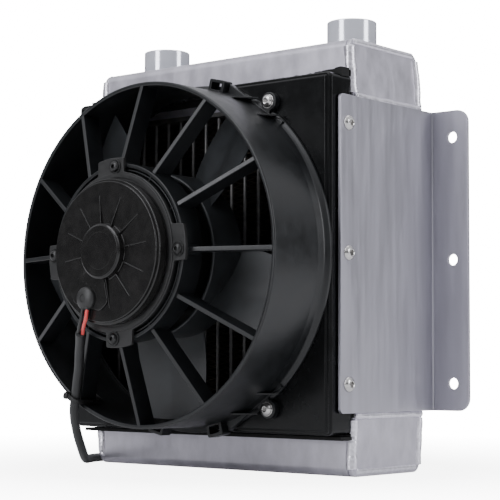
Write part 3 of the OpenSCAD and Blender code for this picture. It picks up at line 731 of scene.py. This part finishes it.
def make_ports():
    """Turned ports with a threaded bore and a sealing chamfer."""
    pitch = 25.4 / 12
    thread_depth = 0.8
    rows_per_turn, around = 8, 72
    bottom, top = TOP_Z - WALL, port_high.z
    chamfer = 2.5
    for name, side, node in (("inlet_fitting", -1, "inlet_port"), ("outlet_fitting", 1, "outlet_port")):
        shape = Shape()
        spigot = PORT_R - 4
        shape.include(lathe(
            [(PORT_BORE, bottom), (spigot, bottom), (spigot, TOP_Z), (PORT_R, TOP_Z)]
            + arc(PORT_R - 1.2, top - 1.2, 1.2, 0, 90, 5)
            + [(PORT_BORE + chamfer + 0.4, top), (PORT_BORE + chamfer, top - 0.3),
               (PORT_BORE + 0.9, top - chamfer)], 96))
        depth = top - chamfer - bottom
        rows = int(depth / pitch * rows_per_turn)
        thread = [
            (r * math.cos(a), r * math.sin(a), z)
            for i in range(rows + 1)
            for a in (2 * math.pi * k / around for k in range(around))
            for z in (bottom + depth * i / rows,)
            for flank in (abs(((z / pitch - a / (2 * math.pi)) % 1) * 2 - 1),)
            for r in (PORT_BORE + 0.05 + thread_depth * flank,)
        ]
        shape.add(thread, [f[::-1] for f in grid(rows + 1, around, wrap_cols=True)])
        piece(name, shape, "port_aluminium", [node], smooth=40, place=move(side * PORT_X, 0, 0))


def make_fins():
    """Closely folded fins in every gap between the tubes."""
    gap = TUBE_PITCH - TUBE_T
    folds = int((fin_high.z - fin_low.z) / FIN_PITCH)
    rise = (fin_high.z - fin_low.z - FIN_T) / folds
    shape = Shape()
    strip = []
    for z_shift in (0, FIN_T):
        for i in range(folds + 1):
            x = gap / 2 if i % 2 else -gap / 2
            strip.append((x, fin_low.z + i * rise + z_shift))
    count = folds + 1
    points = [(x, y, z) for y in (fin_low.y, fin_high.y) for x, z in strip]
    faces = []
    for i in range(folds):
        lower, upper = i, count + i
        faces.append((lower, lower + 1, lower + 1 + 2 * count, lower + 2 * count))
        faces.append((upper, upper + 2 * count, upper + 1 + 2 * count, upper + 1))
        faces.append((lower, upper, upper + 1, lower + 1))
        faces.append((lower + 2 * count, lower + 1 + 2 * count, upper + 1 + 2 * count,
                      upper + 2 * count))
    for i in range(TUBES + 1):
        shape.add(points, faces, move((i - TUBES / 2) * TUBE_PITCH, 0, 0))
    piece("folded_fins", shape, "fin_aluminium", ["air_fins"], smooth=20)


# ---------------------------------------------------------------- brackets and screws
def bracket():
    """Right-hand bracket: side sheet, round bend and holed flange."""
    shape = Shape()
    bend = 4.5
    low, high = flange_low.z, flange_high.z
    depth = BRACKET_FRONT + BRACKET_BACK - bend
    side = fillet([(0, low), (depth, low), (depth, high), (0, high)], [4, 0, 0, 4], 6)
    shape.include(plate([side], BRACKET_T, 0.35), move(HALF_W, -BRACKET_FRONT, 0) @ ACROSS)
    reach = flange_high.x - HALF_W - bend
    corner = 12
    outline = fillet([(0, low), (reach, low), (reach, high), (0, high)], [0, corner, corner, 0], 10)
    holes = [circle(BRACKET_T + HOLE_OUT - bend, AXIS_Z + row * HOLE_PITCH, HOLE_R, 40)[::-1]
             for row in ROWS]
    back = Matrix(((1, 0, 0, HALF_W + bend), (0, 0, -1, BRACKET_BACK), (0, 1, 0, 0), (0, 0, 0, 1)))
    shape.include(plate([outline, *holes], BRACKET_T, 0.35), back)
    section = (arc(HALF_W + bend, BRACKET_BACK - bend, bend, 180, 90, 8)
               + arc(HALF_W + bend, BRACKET_BACK - bend, bend - BRACKET_T, 90, 180, 8))
    curl = [(x, y, z) for z in (low, high) for x, y in section]
    count = len(section)
    faces = grid(2, count, wrap_cols=True) + [tuple(range(count))[::-1],
                                              tuple(range(count, 2 * count))]
    shape.add(curl, faces)
    return shape


def make_brackets():
    right = bracket()
    piece("mounting_bracket_right", right, "bracket_aluminium", ["bracket_right"], smooth=40)
    piece("mounting_bracket_left", right, "bracket_aluminium", ["bracket_left"], smooth=40,
          place=MIRROR_X)


def button_screw(head_r, head_h, socket, shank_r, shank, washer=0.0, washer_r=0.0):
    """Button-head screw with a hexagon socket; z = 0 is the joint face."""
    shape = Shape()
    steps = 48
    lift = washer
    if washer:
        shape.include(ring(washer_r, shank_r, 0, washer, 0.25, steps))
    dome = [(head_r * math.sin(math.radians(a)), lift + 0.6 + (head_h - 0.6) * math.cos(math.radians(a)))
            for a in (90, 78, 66, 54, 44, 36, 30)]
    lip = socket * 1.12
    profile = ([(shank_r, lift), (head_r - 0.25, lift), (head_r, lift + 0.3)] + dome
               + [(lip, lift + head_h * 0.99)])
    points = [(r * math.cos(a), r * math.sin(a), z)
              for r, z in profile
              for a in (2 * math.pi * k / steps for k in range(steps))]

    def hexagon(a):
        within = (math.degrees(a) % 60) - 30
        return socket * math.cos(math.radians(30)) / math.cos(math.radians(within))

    for z in (lift + head_h * 0.93, lift + head_h * 0.35):
        points += [(hexagon(a) * math.cos(a), hexagon(a) * math.sin(a), z)
                   for a in (2 * math.pi * k / steps for k in range(steps))]
    faces = grid(len(profile) + 2, steps, wrap_cols=True)
    faces.append(tuple(range((len(profile) + 1) * steps, (len(profile) + 2) * steps)))
    shape.add(points, faces)
    shape.include(lathe([(0, lift), (shank_r, lift), (shank_r, -shank + 0.5),
                         (shank_r - 0.5, -shank), (0, -shank)], 32))
    return shape


def make_screws():
    """Bracket, fan and motor screws, each turned a little differently."""
    draw = random.Random(4)
    sides = Shape()
    big = button_screw(6.95, 4.2, 2.9, 4.0, 15)
    for row in ROWS:
        for mirror in (Matrix.Identity(4), MIRROR_X):
            at = move(HALF_W + BRACKET_T, SCREW_Y, AXIS_Z + row * HOLE_PITCH)
            sides.include(big, mirror @ at @ ACROSS @ turn(draw.uniform(0, 60)))
    piece("bracket_bolts", sides, "stainless_screw", ["bracket_screws"], smooth=45)
    ears = Shape()
    small = button_screw(5.6, 3.3, 2.3, 3.0, 16, 1.0, 6.4)
    for x in (-EAR[0], EAR[0]):
        for y in (-EAR[1], EAR[1]):
            ears.include(small, FAN @ move(x, y, SHROUD_FACE + EAR_H) @ turn(draw.uniform(0, 60)))
    piece("fan_bolts", ears, "stainless_screw", ["fan_screws"], smooth=45)
    motor = Shape()
    thin = button_screw(4.75, 3.0, 2.0, 2.45, 15, 1.0, 6.5)
    for i in range(4):
        spot = turn(90 * i) @ move(MOTOR_SCREW_R, 0, MOUNT_FRONT + MOTOR_FLANGE_H)
        motor.include(thin, FAN @ spot @ turn(draw.uniform(0, 60)))
    piece("motor_bolts", motor, "black_oxide_steel", ["motor_screws"], smooth=45)


# ---------------------------------------------------------------- shroud
def shroud_outline(inset, corner, per_side=40):
    """Evenly stepped rounded rectangle, the same count of points at every inset."""
    hx, hy = SHROUD_HALF - inset, SHROUD_HALF_H - inset
    out = []
    for quarter in range(4):
        sx, sy = ((1, 1), (-1, 1), (-1, -1), (1, -1))[quarter]
        cx, cy = sx * (hx - corner), sy * (hy - corner)
        out += arc(cx, cy, corner, 90 * quarter, 90 * quarter + 90, 6)
        nx, ny = ((-1, 1), (-1, -1), (1, -1), (1, 1))[quarter]
        ex, ey = nx * (hx - corner), ny * (hy - corner)
        start = out[-1]
        end = ((ex, ny * hy) if quarter % 2 == 0 else (nx * hx, ey))
        out += [(start[0] + (end[0] - start[0]) * k / per_side,
                 start[1] + (end[1] - start[1]) * k / per_side) for k in range(1, per_side)]
    return out


def make_shroud():
    """Folded sheet pan with creased edges, a large round opening and lips above and below."""
    bend = SHROUD_BEND
    layers = []
    rim = shroud_outline(0, bend)
    hole = [(p[0] * SHROUD_HOLE / math.hypot(*p), p[1] * SHROUD_HOLE / math.hypot(*p)) for p in rim]
    layers.append([(x, y, SHROUD_FACE - SHEET) for x, y in hole])
    layers.append([(x, y, SHROUD_FACE) for x, y in hole])
    for inset, drop in ((bend, 0), (4.5, 0.08), (4.0, 0.45), (0.45, 4.0), (0.08, 4.5), (0, bend)):
        layers.append([(x, y, SHROUD_FACE - drop)
                       for x, y in shroud_outline(inset, max(bend - inset, 0.4))])
    layers.append([(x, y, SHROUD_BACK) for x, y in rim])
    inner = shroud_outline(SHEET, bend - SHEET)
    layers.append([(x, y, SHROUD_BACK) for x, y in inner])
    layers.append([(x, y, SHROUD_FACE - SHEET) for x, y in inner])
    layers.append(layers[0])
    count = len(rim)
    pan = Shape()
    pan.add([p for layer in layers for p in layer], grid(len(layers), count, wrap_cols=True))
    for side in (-1, 1):
        y0 = side * (SHROUD_HALF_H - 1.2)
        y1 = side * (SHROUD_HALF_H + SHROUD_LIP)
        lip = block((-SHROUD_HALF, min(y0, y1), SHROUD_BACK),
                    (SHROUD_HALF, max(y0, y1), SHROUD_BACK + SHEET), 0.4)
        pan.include(lip)
    piece("shroud_pan", pan, "shroud_paint", ["fan_shroud"], smooth=38, place=FAN)


def make_foam_edge():
    """Torn edge of the foam strip that shows between the shroud's top and the upper tank."""
    draw = random.Random(4)
    steps, low = 150, SHROUD_HALF_H - 2
    strip = Shape()
    points = []
    for i in range(steps + 1):
        x = SHROUD_HALF * (2 * i / steps - 1)
        rise = FOAM_PROUD + FOAM_END_RISE * (x / SHROUD_HALF) ** 6
        high = SHROUD_HALF_H + rise + draw.uniform(-0.5, 0.4)
        points += [(x, low, FOAM_BACK), (x, high, FOAM_BACK),
                   (x, high - 0.4, FOAM_FRONT), (x, low, FOAM_FRONT)]
    ends = [(3, 2, 1, 0), tuple(4 * steps + k for k in range(4))]
    strip.add(points, grid(steps + 1, 4, wrap_cols=True) + ends)
    piece("foam_strip_edge", strip, "gasket_foam", smooth=60, place=FAN)


# ---------------------------------------------------------------- fan housing
def upright_plate(outline, thickness, edge):
    """An (r, z) outline made into a plate that stands in the plane y = 0."""
    shape = Shape()
    stand = Matrix(((1, 0, 0, 0), (0, 0, -1, thickness / 2), (0, 1, 0, 0), (0, 0, 0, 1)))
    shape.include(plate([outline], thickness, edge), stand)
    return shape


def rib():
    """One rib: it runs straight from the motor mount's rim out to the ring's front edge."""
    inside, outside = CHANNEL_OUT + 1, RING_IN + 1
    outline = [(inside, MOUNT_BACK), (93, 160), (outside, RING_FRONT - 20), (outside, RING_FRONT - 0.3),
               (MOUNT_R, RIB_FRONT), (inside, RIB_FRONT)]
    return upright_plate(fillet(outline, [0, 12, 0, 0, 3, 0], 4), RIB_T, 0.55)


def touch_angle(start, side):
    """Direction from the ear's centre to where a line from a point touches the ear's round pad."""
    away = Vector(start) - Vector(EAR)
    return math.degrees(math.atan2(away.y, away.x) + side * math.acos(EAR_R / away.length))


def ear():
    """Upper right screw ear: a pad drawn tightly round the screw, with two gussets to the ring."""
    shape = Shape()
    inner = RING_R - 2
    low, high = (math.degrees(math.atan2(y, x)) for x, y in (EAR_ROOT_OUT, EAR_ROOT_IN))
    first, last = touch_angle(EAR_ROOT_OUT, -1) + 360, touch_angle(EAR_ROOT_IN, 1) + 360
    outline = ([EAR_ROOT_OUT] + arc(*EAR, EAR_R, first, last, 16)
               + [EAR_ROOT_IN] + arc(0, 0, inner, high, low, 10))
    shape.include(plate([outline, circle(*EAR, 3.3, 32)[::-1]], EAR_H, 0.7))
    for x, y, length in GUSSETS:
        web = fillet([(-2, EAR_H - 1), (length, EAR_H - 1), (0.8, GUSSET_H), (-2, GUSSET_H)],
                     [0, 0, 1, 0], 3)
        shape.include(upright_plate(web, GUSSET_T, 0.4), move(x, y, 0))
    return shape


def clip_eye():
    """Open box on the outside of the ring, for a harness clip; local x points outward."""
    shape = Shape()
    outer = fillet([(RING_R - 3, -9), (RING_R + 11, -9), (RING_R + 11, 9), (RING_R - 3, 9)],
                   [0, 2, 2, 0], 4)
    inner = fillet([(RING_R + 1.5, -6), (RING_R + 8, -6), (RING_R + 8, 6), (RING_R + 1.5, 6)], 0.8, 3)
    shape.include(plate([outer, inner[::-1]], 12, 0.5), move(0, 0, SHROUD_FACE))
    return shape


def make_housing():
    """Moulded ring, twelve ribs, motor mount, screw ears and clip eyes."""
    shape = Shape()
    lip = 1.4
    wall = [(RING_IN, SHROUD_FACE), (FLANGE_R, SHROUD_FACE), (FLANGE_R, SHROUD_FACE + 3),
            (RING_R + 1, SHROUD_FACE + 5.5), (RING_R, SHROUD_FACE + 14),
            (RING_R, RING_FRONT), (RING_IN, RING_FRONT)]
    shape.include(lathe(fillet(wall, [0.5, 0.8, 1.2, 3.5, 3, lip, lip], 5), 192))
    shape.include(lathe(fillet([(CHANNEL_OUT, MOUNT_BACK), (MOUNT_R, MOUNT_BACK), (MOUNT_R, MOUNT_FRONT),
                                (CHANNEL_OUT, MOUNT_FRONT)], [1, 1, 0.8, 0.5], 4), 144))
    shape.include(lathe(fillet([(CHANNEL_IN - 3, MOUNT_BACK + 12), (CHANNEL_IN, MOUNT_BACK + 12),
                                (CHANNEL_IN, MOUNT_FRONT), (CHANNEL_IN - 3, MOUNT_FRONT)], 0.6, 3), 144))
    shape.include(ring(MOUNT_R - 0.5, CHANNEL_IN - 2.5, MOUNT_BACK + 12, MOUNT_BACK + 15, 0.4, 144))
    channel_mid = (CHANNEL_OUT + CHANNEL_IN) / 2
    shape.include(ring(channel_mid + 0.8, channel_mid - 0.6, MOUNT_BACK + 14, MOUNT_FRONT - 1.2, 0.4, 144))
    spoke = rib()
    tie = block((CHANNEL_IN - 1, -1, MOUNT_BACK + 12), (CHANNEL_OUT + 1, 1, MOUNT_BACK + 22), 0.4)
    for i in range(RIBS):
        at = turn(i * 360 / RIBS)
        shape.include(spoke, at)
        shape.include(tie, at)
    boss = ring(5.5, 2.5, MOUNT_BACK + 6, MOUNT_FRONT, 0.6, 32)
    for i in range(4):
        shape.include(boss, turn(90 * i) @ move(MOTOR_SCREW_R, 0, 0))
    one_ear = ear()
    for sx in (1, -1):
        for sy in (1, -1):
            shape.include(one_ear, Matrix.Diagonal((sx, sy, 1, 1)) @ move(0, 0, SHROUD_FACE))
    eye = clip_eye()
    for degrees in CLIP_ANGLES:
        shape.include(eye, turn(degrees))
    piece("fan_ring_and_ribs", shape, "fan_plastic", ["fan_housing"], smooth=40, place=FAN)


# ---------------------------------------------------------------- motor
def make_motor():
    """Motor can, mounting flange, ribbed cap, gland and gasket."""
    can = Shape()
    can.include(lathe(fillet(
        [(16, CAN_BACK - 2.5), (16, CAN_BACK), (CAN_R, CAN_BACK), (CAN_R, MOUNT_FRONT),
         (CAN_R - 2, MOUNT_FRONT), (CAN_R - 2, CAN_BACK + 2.5), (8, CAN_BACK + 2.5), (8, CAN_BACK - 2.5)],
        [0.5, 2, 5, 0, 0, 3, 0, 0], 5), 128))
    outline, rounds, holes = [], [], [circle(0, 0, CAN_R - 0.5, 96)[::-1]]
    for i in range(4):
        outline += arc(0, 0, LUG_R, 90 * i - 6.5, 90 * i + 15, 10)
        outline += arc(0, 0, MOTOR_FLANGE_R, 90 * i + 18, 90 * i + 82, 30)
        rounds += [7] + [0] * 9 + [5, 2] + [0] * 29 + [2]
        holes.append([tuple((turn(90 * i) @ Vector((x, y, 0))).xy)
                      for x, y in circle(MOTOR_SCREW_R, 0, 2.75, 24)[::-1]])
    can.include(plate([fillet(outline, rounds, 5), *holes], MOTOR_FLANGE_H, 0.5),
                move(0, 0, MOUNT_FRONT))
    can.include(ring(MOTOR_FLANGE_R - 1.5, CAP_R + 1.5, MOUNT_FRONT + MOTOR_FLANGE_H - 0.2,
                     MOUNT_FRONT + MOTOR_FLANGE_H + 0.9, 0.4, 144))
    piece("motor_can", can, "motor_paint", ["motor_case"], smooth=40, place=FAN)

    cap = Shape()
    cap.include(lathe(
        [(CAP_R - 3, CAP_BACK), (CAP_R - 0.4, CAP_BACK), (CAP_R, CAP_BACK + 0.5)]
        + arc(CAP_R - 0.9, CAP_FRONT - 3.2, 0.9, 0, 90, 5)
        + [(CAP_R - 2.2, CAP_FRONT - 2.2)]
        + arc(CAP_R - 3.2, CAP_FRONT - 0.9, 0.9, 0, 90, 5)
        + [(CAP_R - 5, CAP_FRONT - 0.05), (45, CAP_FRONT - 0.1), (DISC_R + 1.6, CAP_FRONT - 0.1)]
        + arc(DISC_R + 0.7, CAP_FRONT + 0.6, 0.7, 270, 180, 3)
        + arc(DISC_R - 0.8, DISC_FRONT - 2, 0.8, 0, 90, 4)
        + arc(DISC_R - 2.2, DISC_FRONT - 0.7, 0.7, 0, 90, 4)
        + [(17.2, DISC_FRONT), (16.7, DISC_FRONT - 0.12), (15.8, DISC_FRONT - 0.12),
           (15.3, DISC_FRONT), (0, DISC_FRONT), (0, CAP_FRONT - 3), (CAP_R - 3, CAP_FRONT - 3)], 160))
    fin = upright_plate(fillet([(DISC_R, CAP_FRONT - 1), (50, CAP_FRONT - 1), (50, CAP_FRONT + 0.2),
                                (DISC_R, CAP_FRONT + 2)], [0, 0, 0.5, 0], 3), 1.2, 0.4)
    for i in range(CAP_RIBS):
        if i != RIB_UNDER_GLAND:
            cap.include(fin, turn(8 + i * 360 / CAP_RIBS))
    base = fillet([(-21, -14), (-41, -32), (-36, -44), (-4, -52), (6, -44), (1, -24)],
                  [0, 6, 8, 8, 6, 3], 6)
    cap.include(plate([base], GLAND_BASE - CAP_FRONT + 1, 0.6), move(0, 0, CAP_FRONT - 1))
    pip = lathe([(0, 0), (0.8, 0), (0.6, 0.5), (0, 0.7)], 16)
    for x, y in ((-24, -25), (-9, -29), (-20, -27)):
        cap.include(pip, move(x, y, GLAND_BASE))
    piece("ribbed_motor_cap", cap, "cap_plastic", ["motor_cap"], place=FAN)

    gland = lathe(
        [(0, 0), (GLAND_R, 0), (GLAND_R, 1.2)]
        + [(GLAND_R * math.cos(math.radians(a)), 1.2 + 4.2 * math.sin(math.radians(a)))
           for a in (15, 30, 45, 60)]
        + [(3.6, 5.2), (3.2, 4.6), (0, 4.6)], 64)
    whole = Shape()
    whole.include(gland, FAN @ move(*GLAND, GLAND_BASE))
    for route in (RED_ROUTE, BLACK_ROUTE):
        lead = smooth_path(route, 8)
        whole.include(sweep(lead[:5], lambda i, a: 2.6 - 0.16 * i, 20))
    piece("lead_gland", whole, "black_rubber", ["cable_gland"], smooth=45)


# ---------------------------------------------------------------- impeller
def blade_point(f, s, side):
    """Point on a blade: f runs root to tip, s runs outlet edge to inlet edge."""
    r = HUB_R - 2 + (TIP_R - HUB_R + 2) * f
    start, end = -38.6 + 8.6 * f, 5 - 12.5 * f
    angle = math.radians(start + (end - start) * s)
    outlet = 134 - 3 * f
    height = outlet + (HUB_BACK + 1 - outlet) * s - 8 * s * (1 - s)
    half = BLADE_T / 2 * (0.35 + 2.6 * s * (1 - s))
    return (r * math.cos(angle), r * math.sin(angle), height + side * half)


def blade():
    spans, chords = 20, 24
    lower = [[blade_point(i / spans, j / chords, -1) for j in range(chords + 1)]
             for i in range(spans + 1)]
    upper = [[blade_point(i / spans, j / chords, 1) for j in range(chords + 1)]
             for i in range(spans + 1)]
    shape = Shape()
    loop = [row_low + row_up[::-1] for row_low, row_up in zip(lower, upper)]
    count = len(loop[0])
    faces = grid(spans + 1, count, wrap_cols=True)
    faces += [tuple(range(count)), tuple(spans * count + k for k in range(count))[::-1]]
    shape.add([p for row in loop for p in row], faces)
    return shape


def make_impeller():
    """Five swept blades on a cup-shaped hub."""
    shape = Shape()
    cup = [(9, HUB_BACK), (HUB_R, HUB_BACK), (HUB_R, HUB_FRONT), (HUB_R - HUB_WALL, HUB_FRONT),
           (HUB_R - HUB_WALL, HUB_BACK + HUB_WALL), (9, HUB_BACK + HUB_WALL)]
    shape.include(lathe(fillet(cup, [0.5, 4, 1.6, 1, 3, 0.5], 5), 144))
    one = blade()
    for i in range(BLADES):
        shape.include(one, turn(i * 360 / BLADES))
    piece("bladed_impeller", shape, "impeller_plastic", ["impeller"], body=ROTOR, smooth=40, place=FAN)


# ---------------------------------------------------------------- tie
def make_tie():
    """Cable tie round the cable and the rib behind it."""
    low, high, half = TIE_LOW, TIE_HIGH, CABLE_D / 2 + 1
    strap, width = 1.2, 4.5
    outer = fillet([(-half - strap, low - strap), (half + strap, low - strap),
                    (half + strap, high + strap), (-half - strap, high + strap)], [1.6, 1.6, 5, 5], 7)
    inner = fillet([(-half, low), (half, low), (half, high), (-half, high)], [0.6, 0.6, 4, 4], 7)
    shape = Shape()
    shape.include(plate([outer, inner[::-1]], width, 0.35), move(-width / 2, 0, 0) @ ACROSS)
    side = -half - strap
    shape.include(block((-1.5, side - 5.2, high - 7), (5.5, side + 0.3, high), 1.6))
    piece("tie_band", shape, "tie_nylon", ["cable_tie"], smooth=45,
          place=FAN @ turn(TIE_ANGLE) @ move(TIE_AT_R, TIE_OFF_RIB, 0))


# ---------------------------------------------------------------- carried-over CAD nodes
def dress_cad_nodes():
    """Every CAD node that is still shown gets its procedural material and smooth shading."""
    slots = {part["node"]: part["material_slot"] for part in frame["record"]["subparts"]}
    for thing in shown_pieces():
        node = thing.get("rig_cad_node")
        if node is None:
            continue
        thing.data.materials.clear()
        thing.data.materials.append(materials[slots[node]])
        thing.data.shade_smooth()
        thing.data.set_sharp_from_angle(angle=math.radians(30))


# ---------------------------------------------------------------- studio
def light(name, where, size, power):
    """A large cool area light that faces the middle of the object."""
    data = bpy.data.lights.new(name, "AREA")
    data.shape = "RECTANGLE"
    data.size, data.size_y = size
    data.energy = power
    data.color = (0.95, 0.96, 1.0)
    lamp = bpy.data.objects.new(name, data)
    bpy.context.scene.collection.objects.link(lamp)
    lamp.location = Vector(where)
    middle = Vector((0, 0, 0.2))
    lamp.rotation_euler = (middle - lamp.location).to_track_quat("-Z", "Y").to_euler()


def make_studio():
    """Pale floor and backdrop, a white room that is dim low down, and a few large soft lights; the glowing
    floor carries a painted shadow round the object.
    """
    world = bpy.data.worlds.new("room")
    bpy.context.scene.world = world
    world.use_nodes = True
    nodes, links = world.node_tree.nodes, world.node_tree.links
    split = nodes.new("ShaderNodeSeparateXYZ")
    brighter = nodes.new("ShaderNodeMapRange")
    for socket, value in (("From Min", 0.18), ("From Max", 0.45), ("To Min", 0.15), ("To Max", 0.9)):
        brighter.inputs[socket].default_value = value
    links.new(nodes.new("ShaderNodeTexCoord").outputs["Generated"], split.inputs["Vector"])
    links.new(split.outputs["Z"], brighter.inputs["Value"])
    links.new(brighter.outputs["Result"], nodes["Background"].inputs["Strength"])
    nodes["Background"].inputs["Color"].default_value = (0.95, 0.96, 1, 1)
    for name, glow, height, radius in (("floor", 0, -0.0008, 6), ("floor_glow_and_painted_shadow", 16, -0.0005, 6),
                                       ("backdrop", 16, 0, 5.9)):
        paper = bpy.data.materials.new(name + "_paper")
        n = Nodes(paper)
        n.shader.inputs["Base Color"].default_value = (0.9, 0.9, 0.9, 1)
        n.shader.inputs["Roughness"].default_value = 0.9
        n.shader.inputs["Emission Color"].default_value = (1, 1, 1, 1)
        n.shader.inputs["Emission Strength"].default_value = glow
        # Painted shadow: the floor's glow is 6 within 0.2 m of the middle and rises to the full glow at
        # 0.8 m, a painted contact shadow round the object.
        if name == "floor_glow_and_painted_shadow":
            reach = n.tree.nodes.new("ShaderNodeVectorMath")
            reach.operation = "LENGTH"
            n.link(n.where, reach.inputs[0])
            n.link(n.ramp(reach.outputs["Value"], 0.2, 0.8, 6, glow), n.shader.inputs["Emission Strength"])
        if name == "backdrop":
            bpy.ops.mesh.primitive_uv_sphere_add(segments=64, ring_count=32, radius=radius)
        else:
            bpy.ops.mesh.primitive_circle_add(vertices=96, radius=radius, fill_type="NGON",
                                              location=(0, 0, height))
        paper_stage = bpy.context.object
        paper_stage.name = name
        paper_stage.data.materials.append(paper)
        if glow:
            for ray in ("diffuse", "glossy", "transmission", "shadow", "volume_scatter"):
                setattr(paper_stage, "visible_" + ray, False)
    light("key_above_front", (-0.4, -1.9, 2.2), (1.6, 1.0), 24)
    light("front_strip", (-0.45, -2.55, 0.9), (0.9, 1.3), 26)
    light("right_strip", (2.5, 0.7, 0.9), (0.9, 1.3), 24)
    light("overhead", (0.2, 0.3, 2.4), (1.8, 1.8), 12)


make_camera()
make_cable()
make_leads()
make_tanks()
make_welds()
make_ports()
make_fins()
make_brackets()
make_screws()
make_shroud()
make_foam_edge()
make_housing()
make_motor()
make_impeller()
make_tie()
dress_cad_nodes()
make_studio()
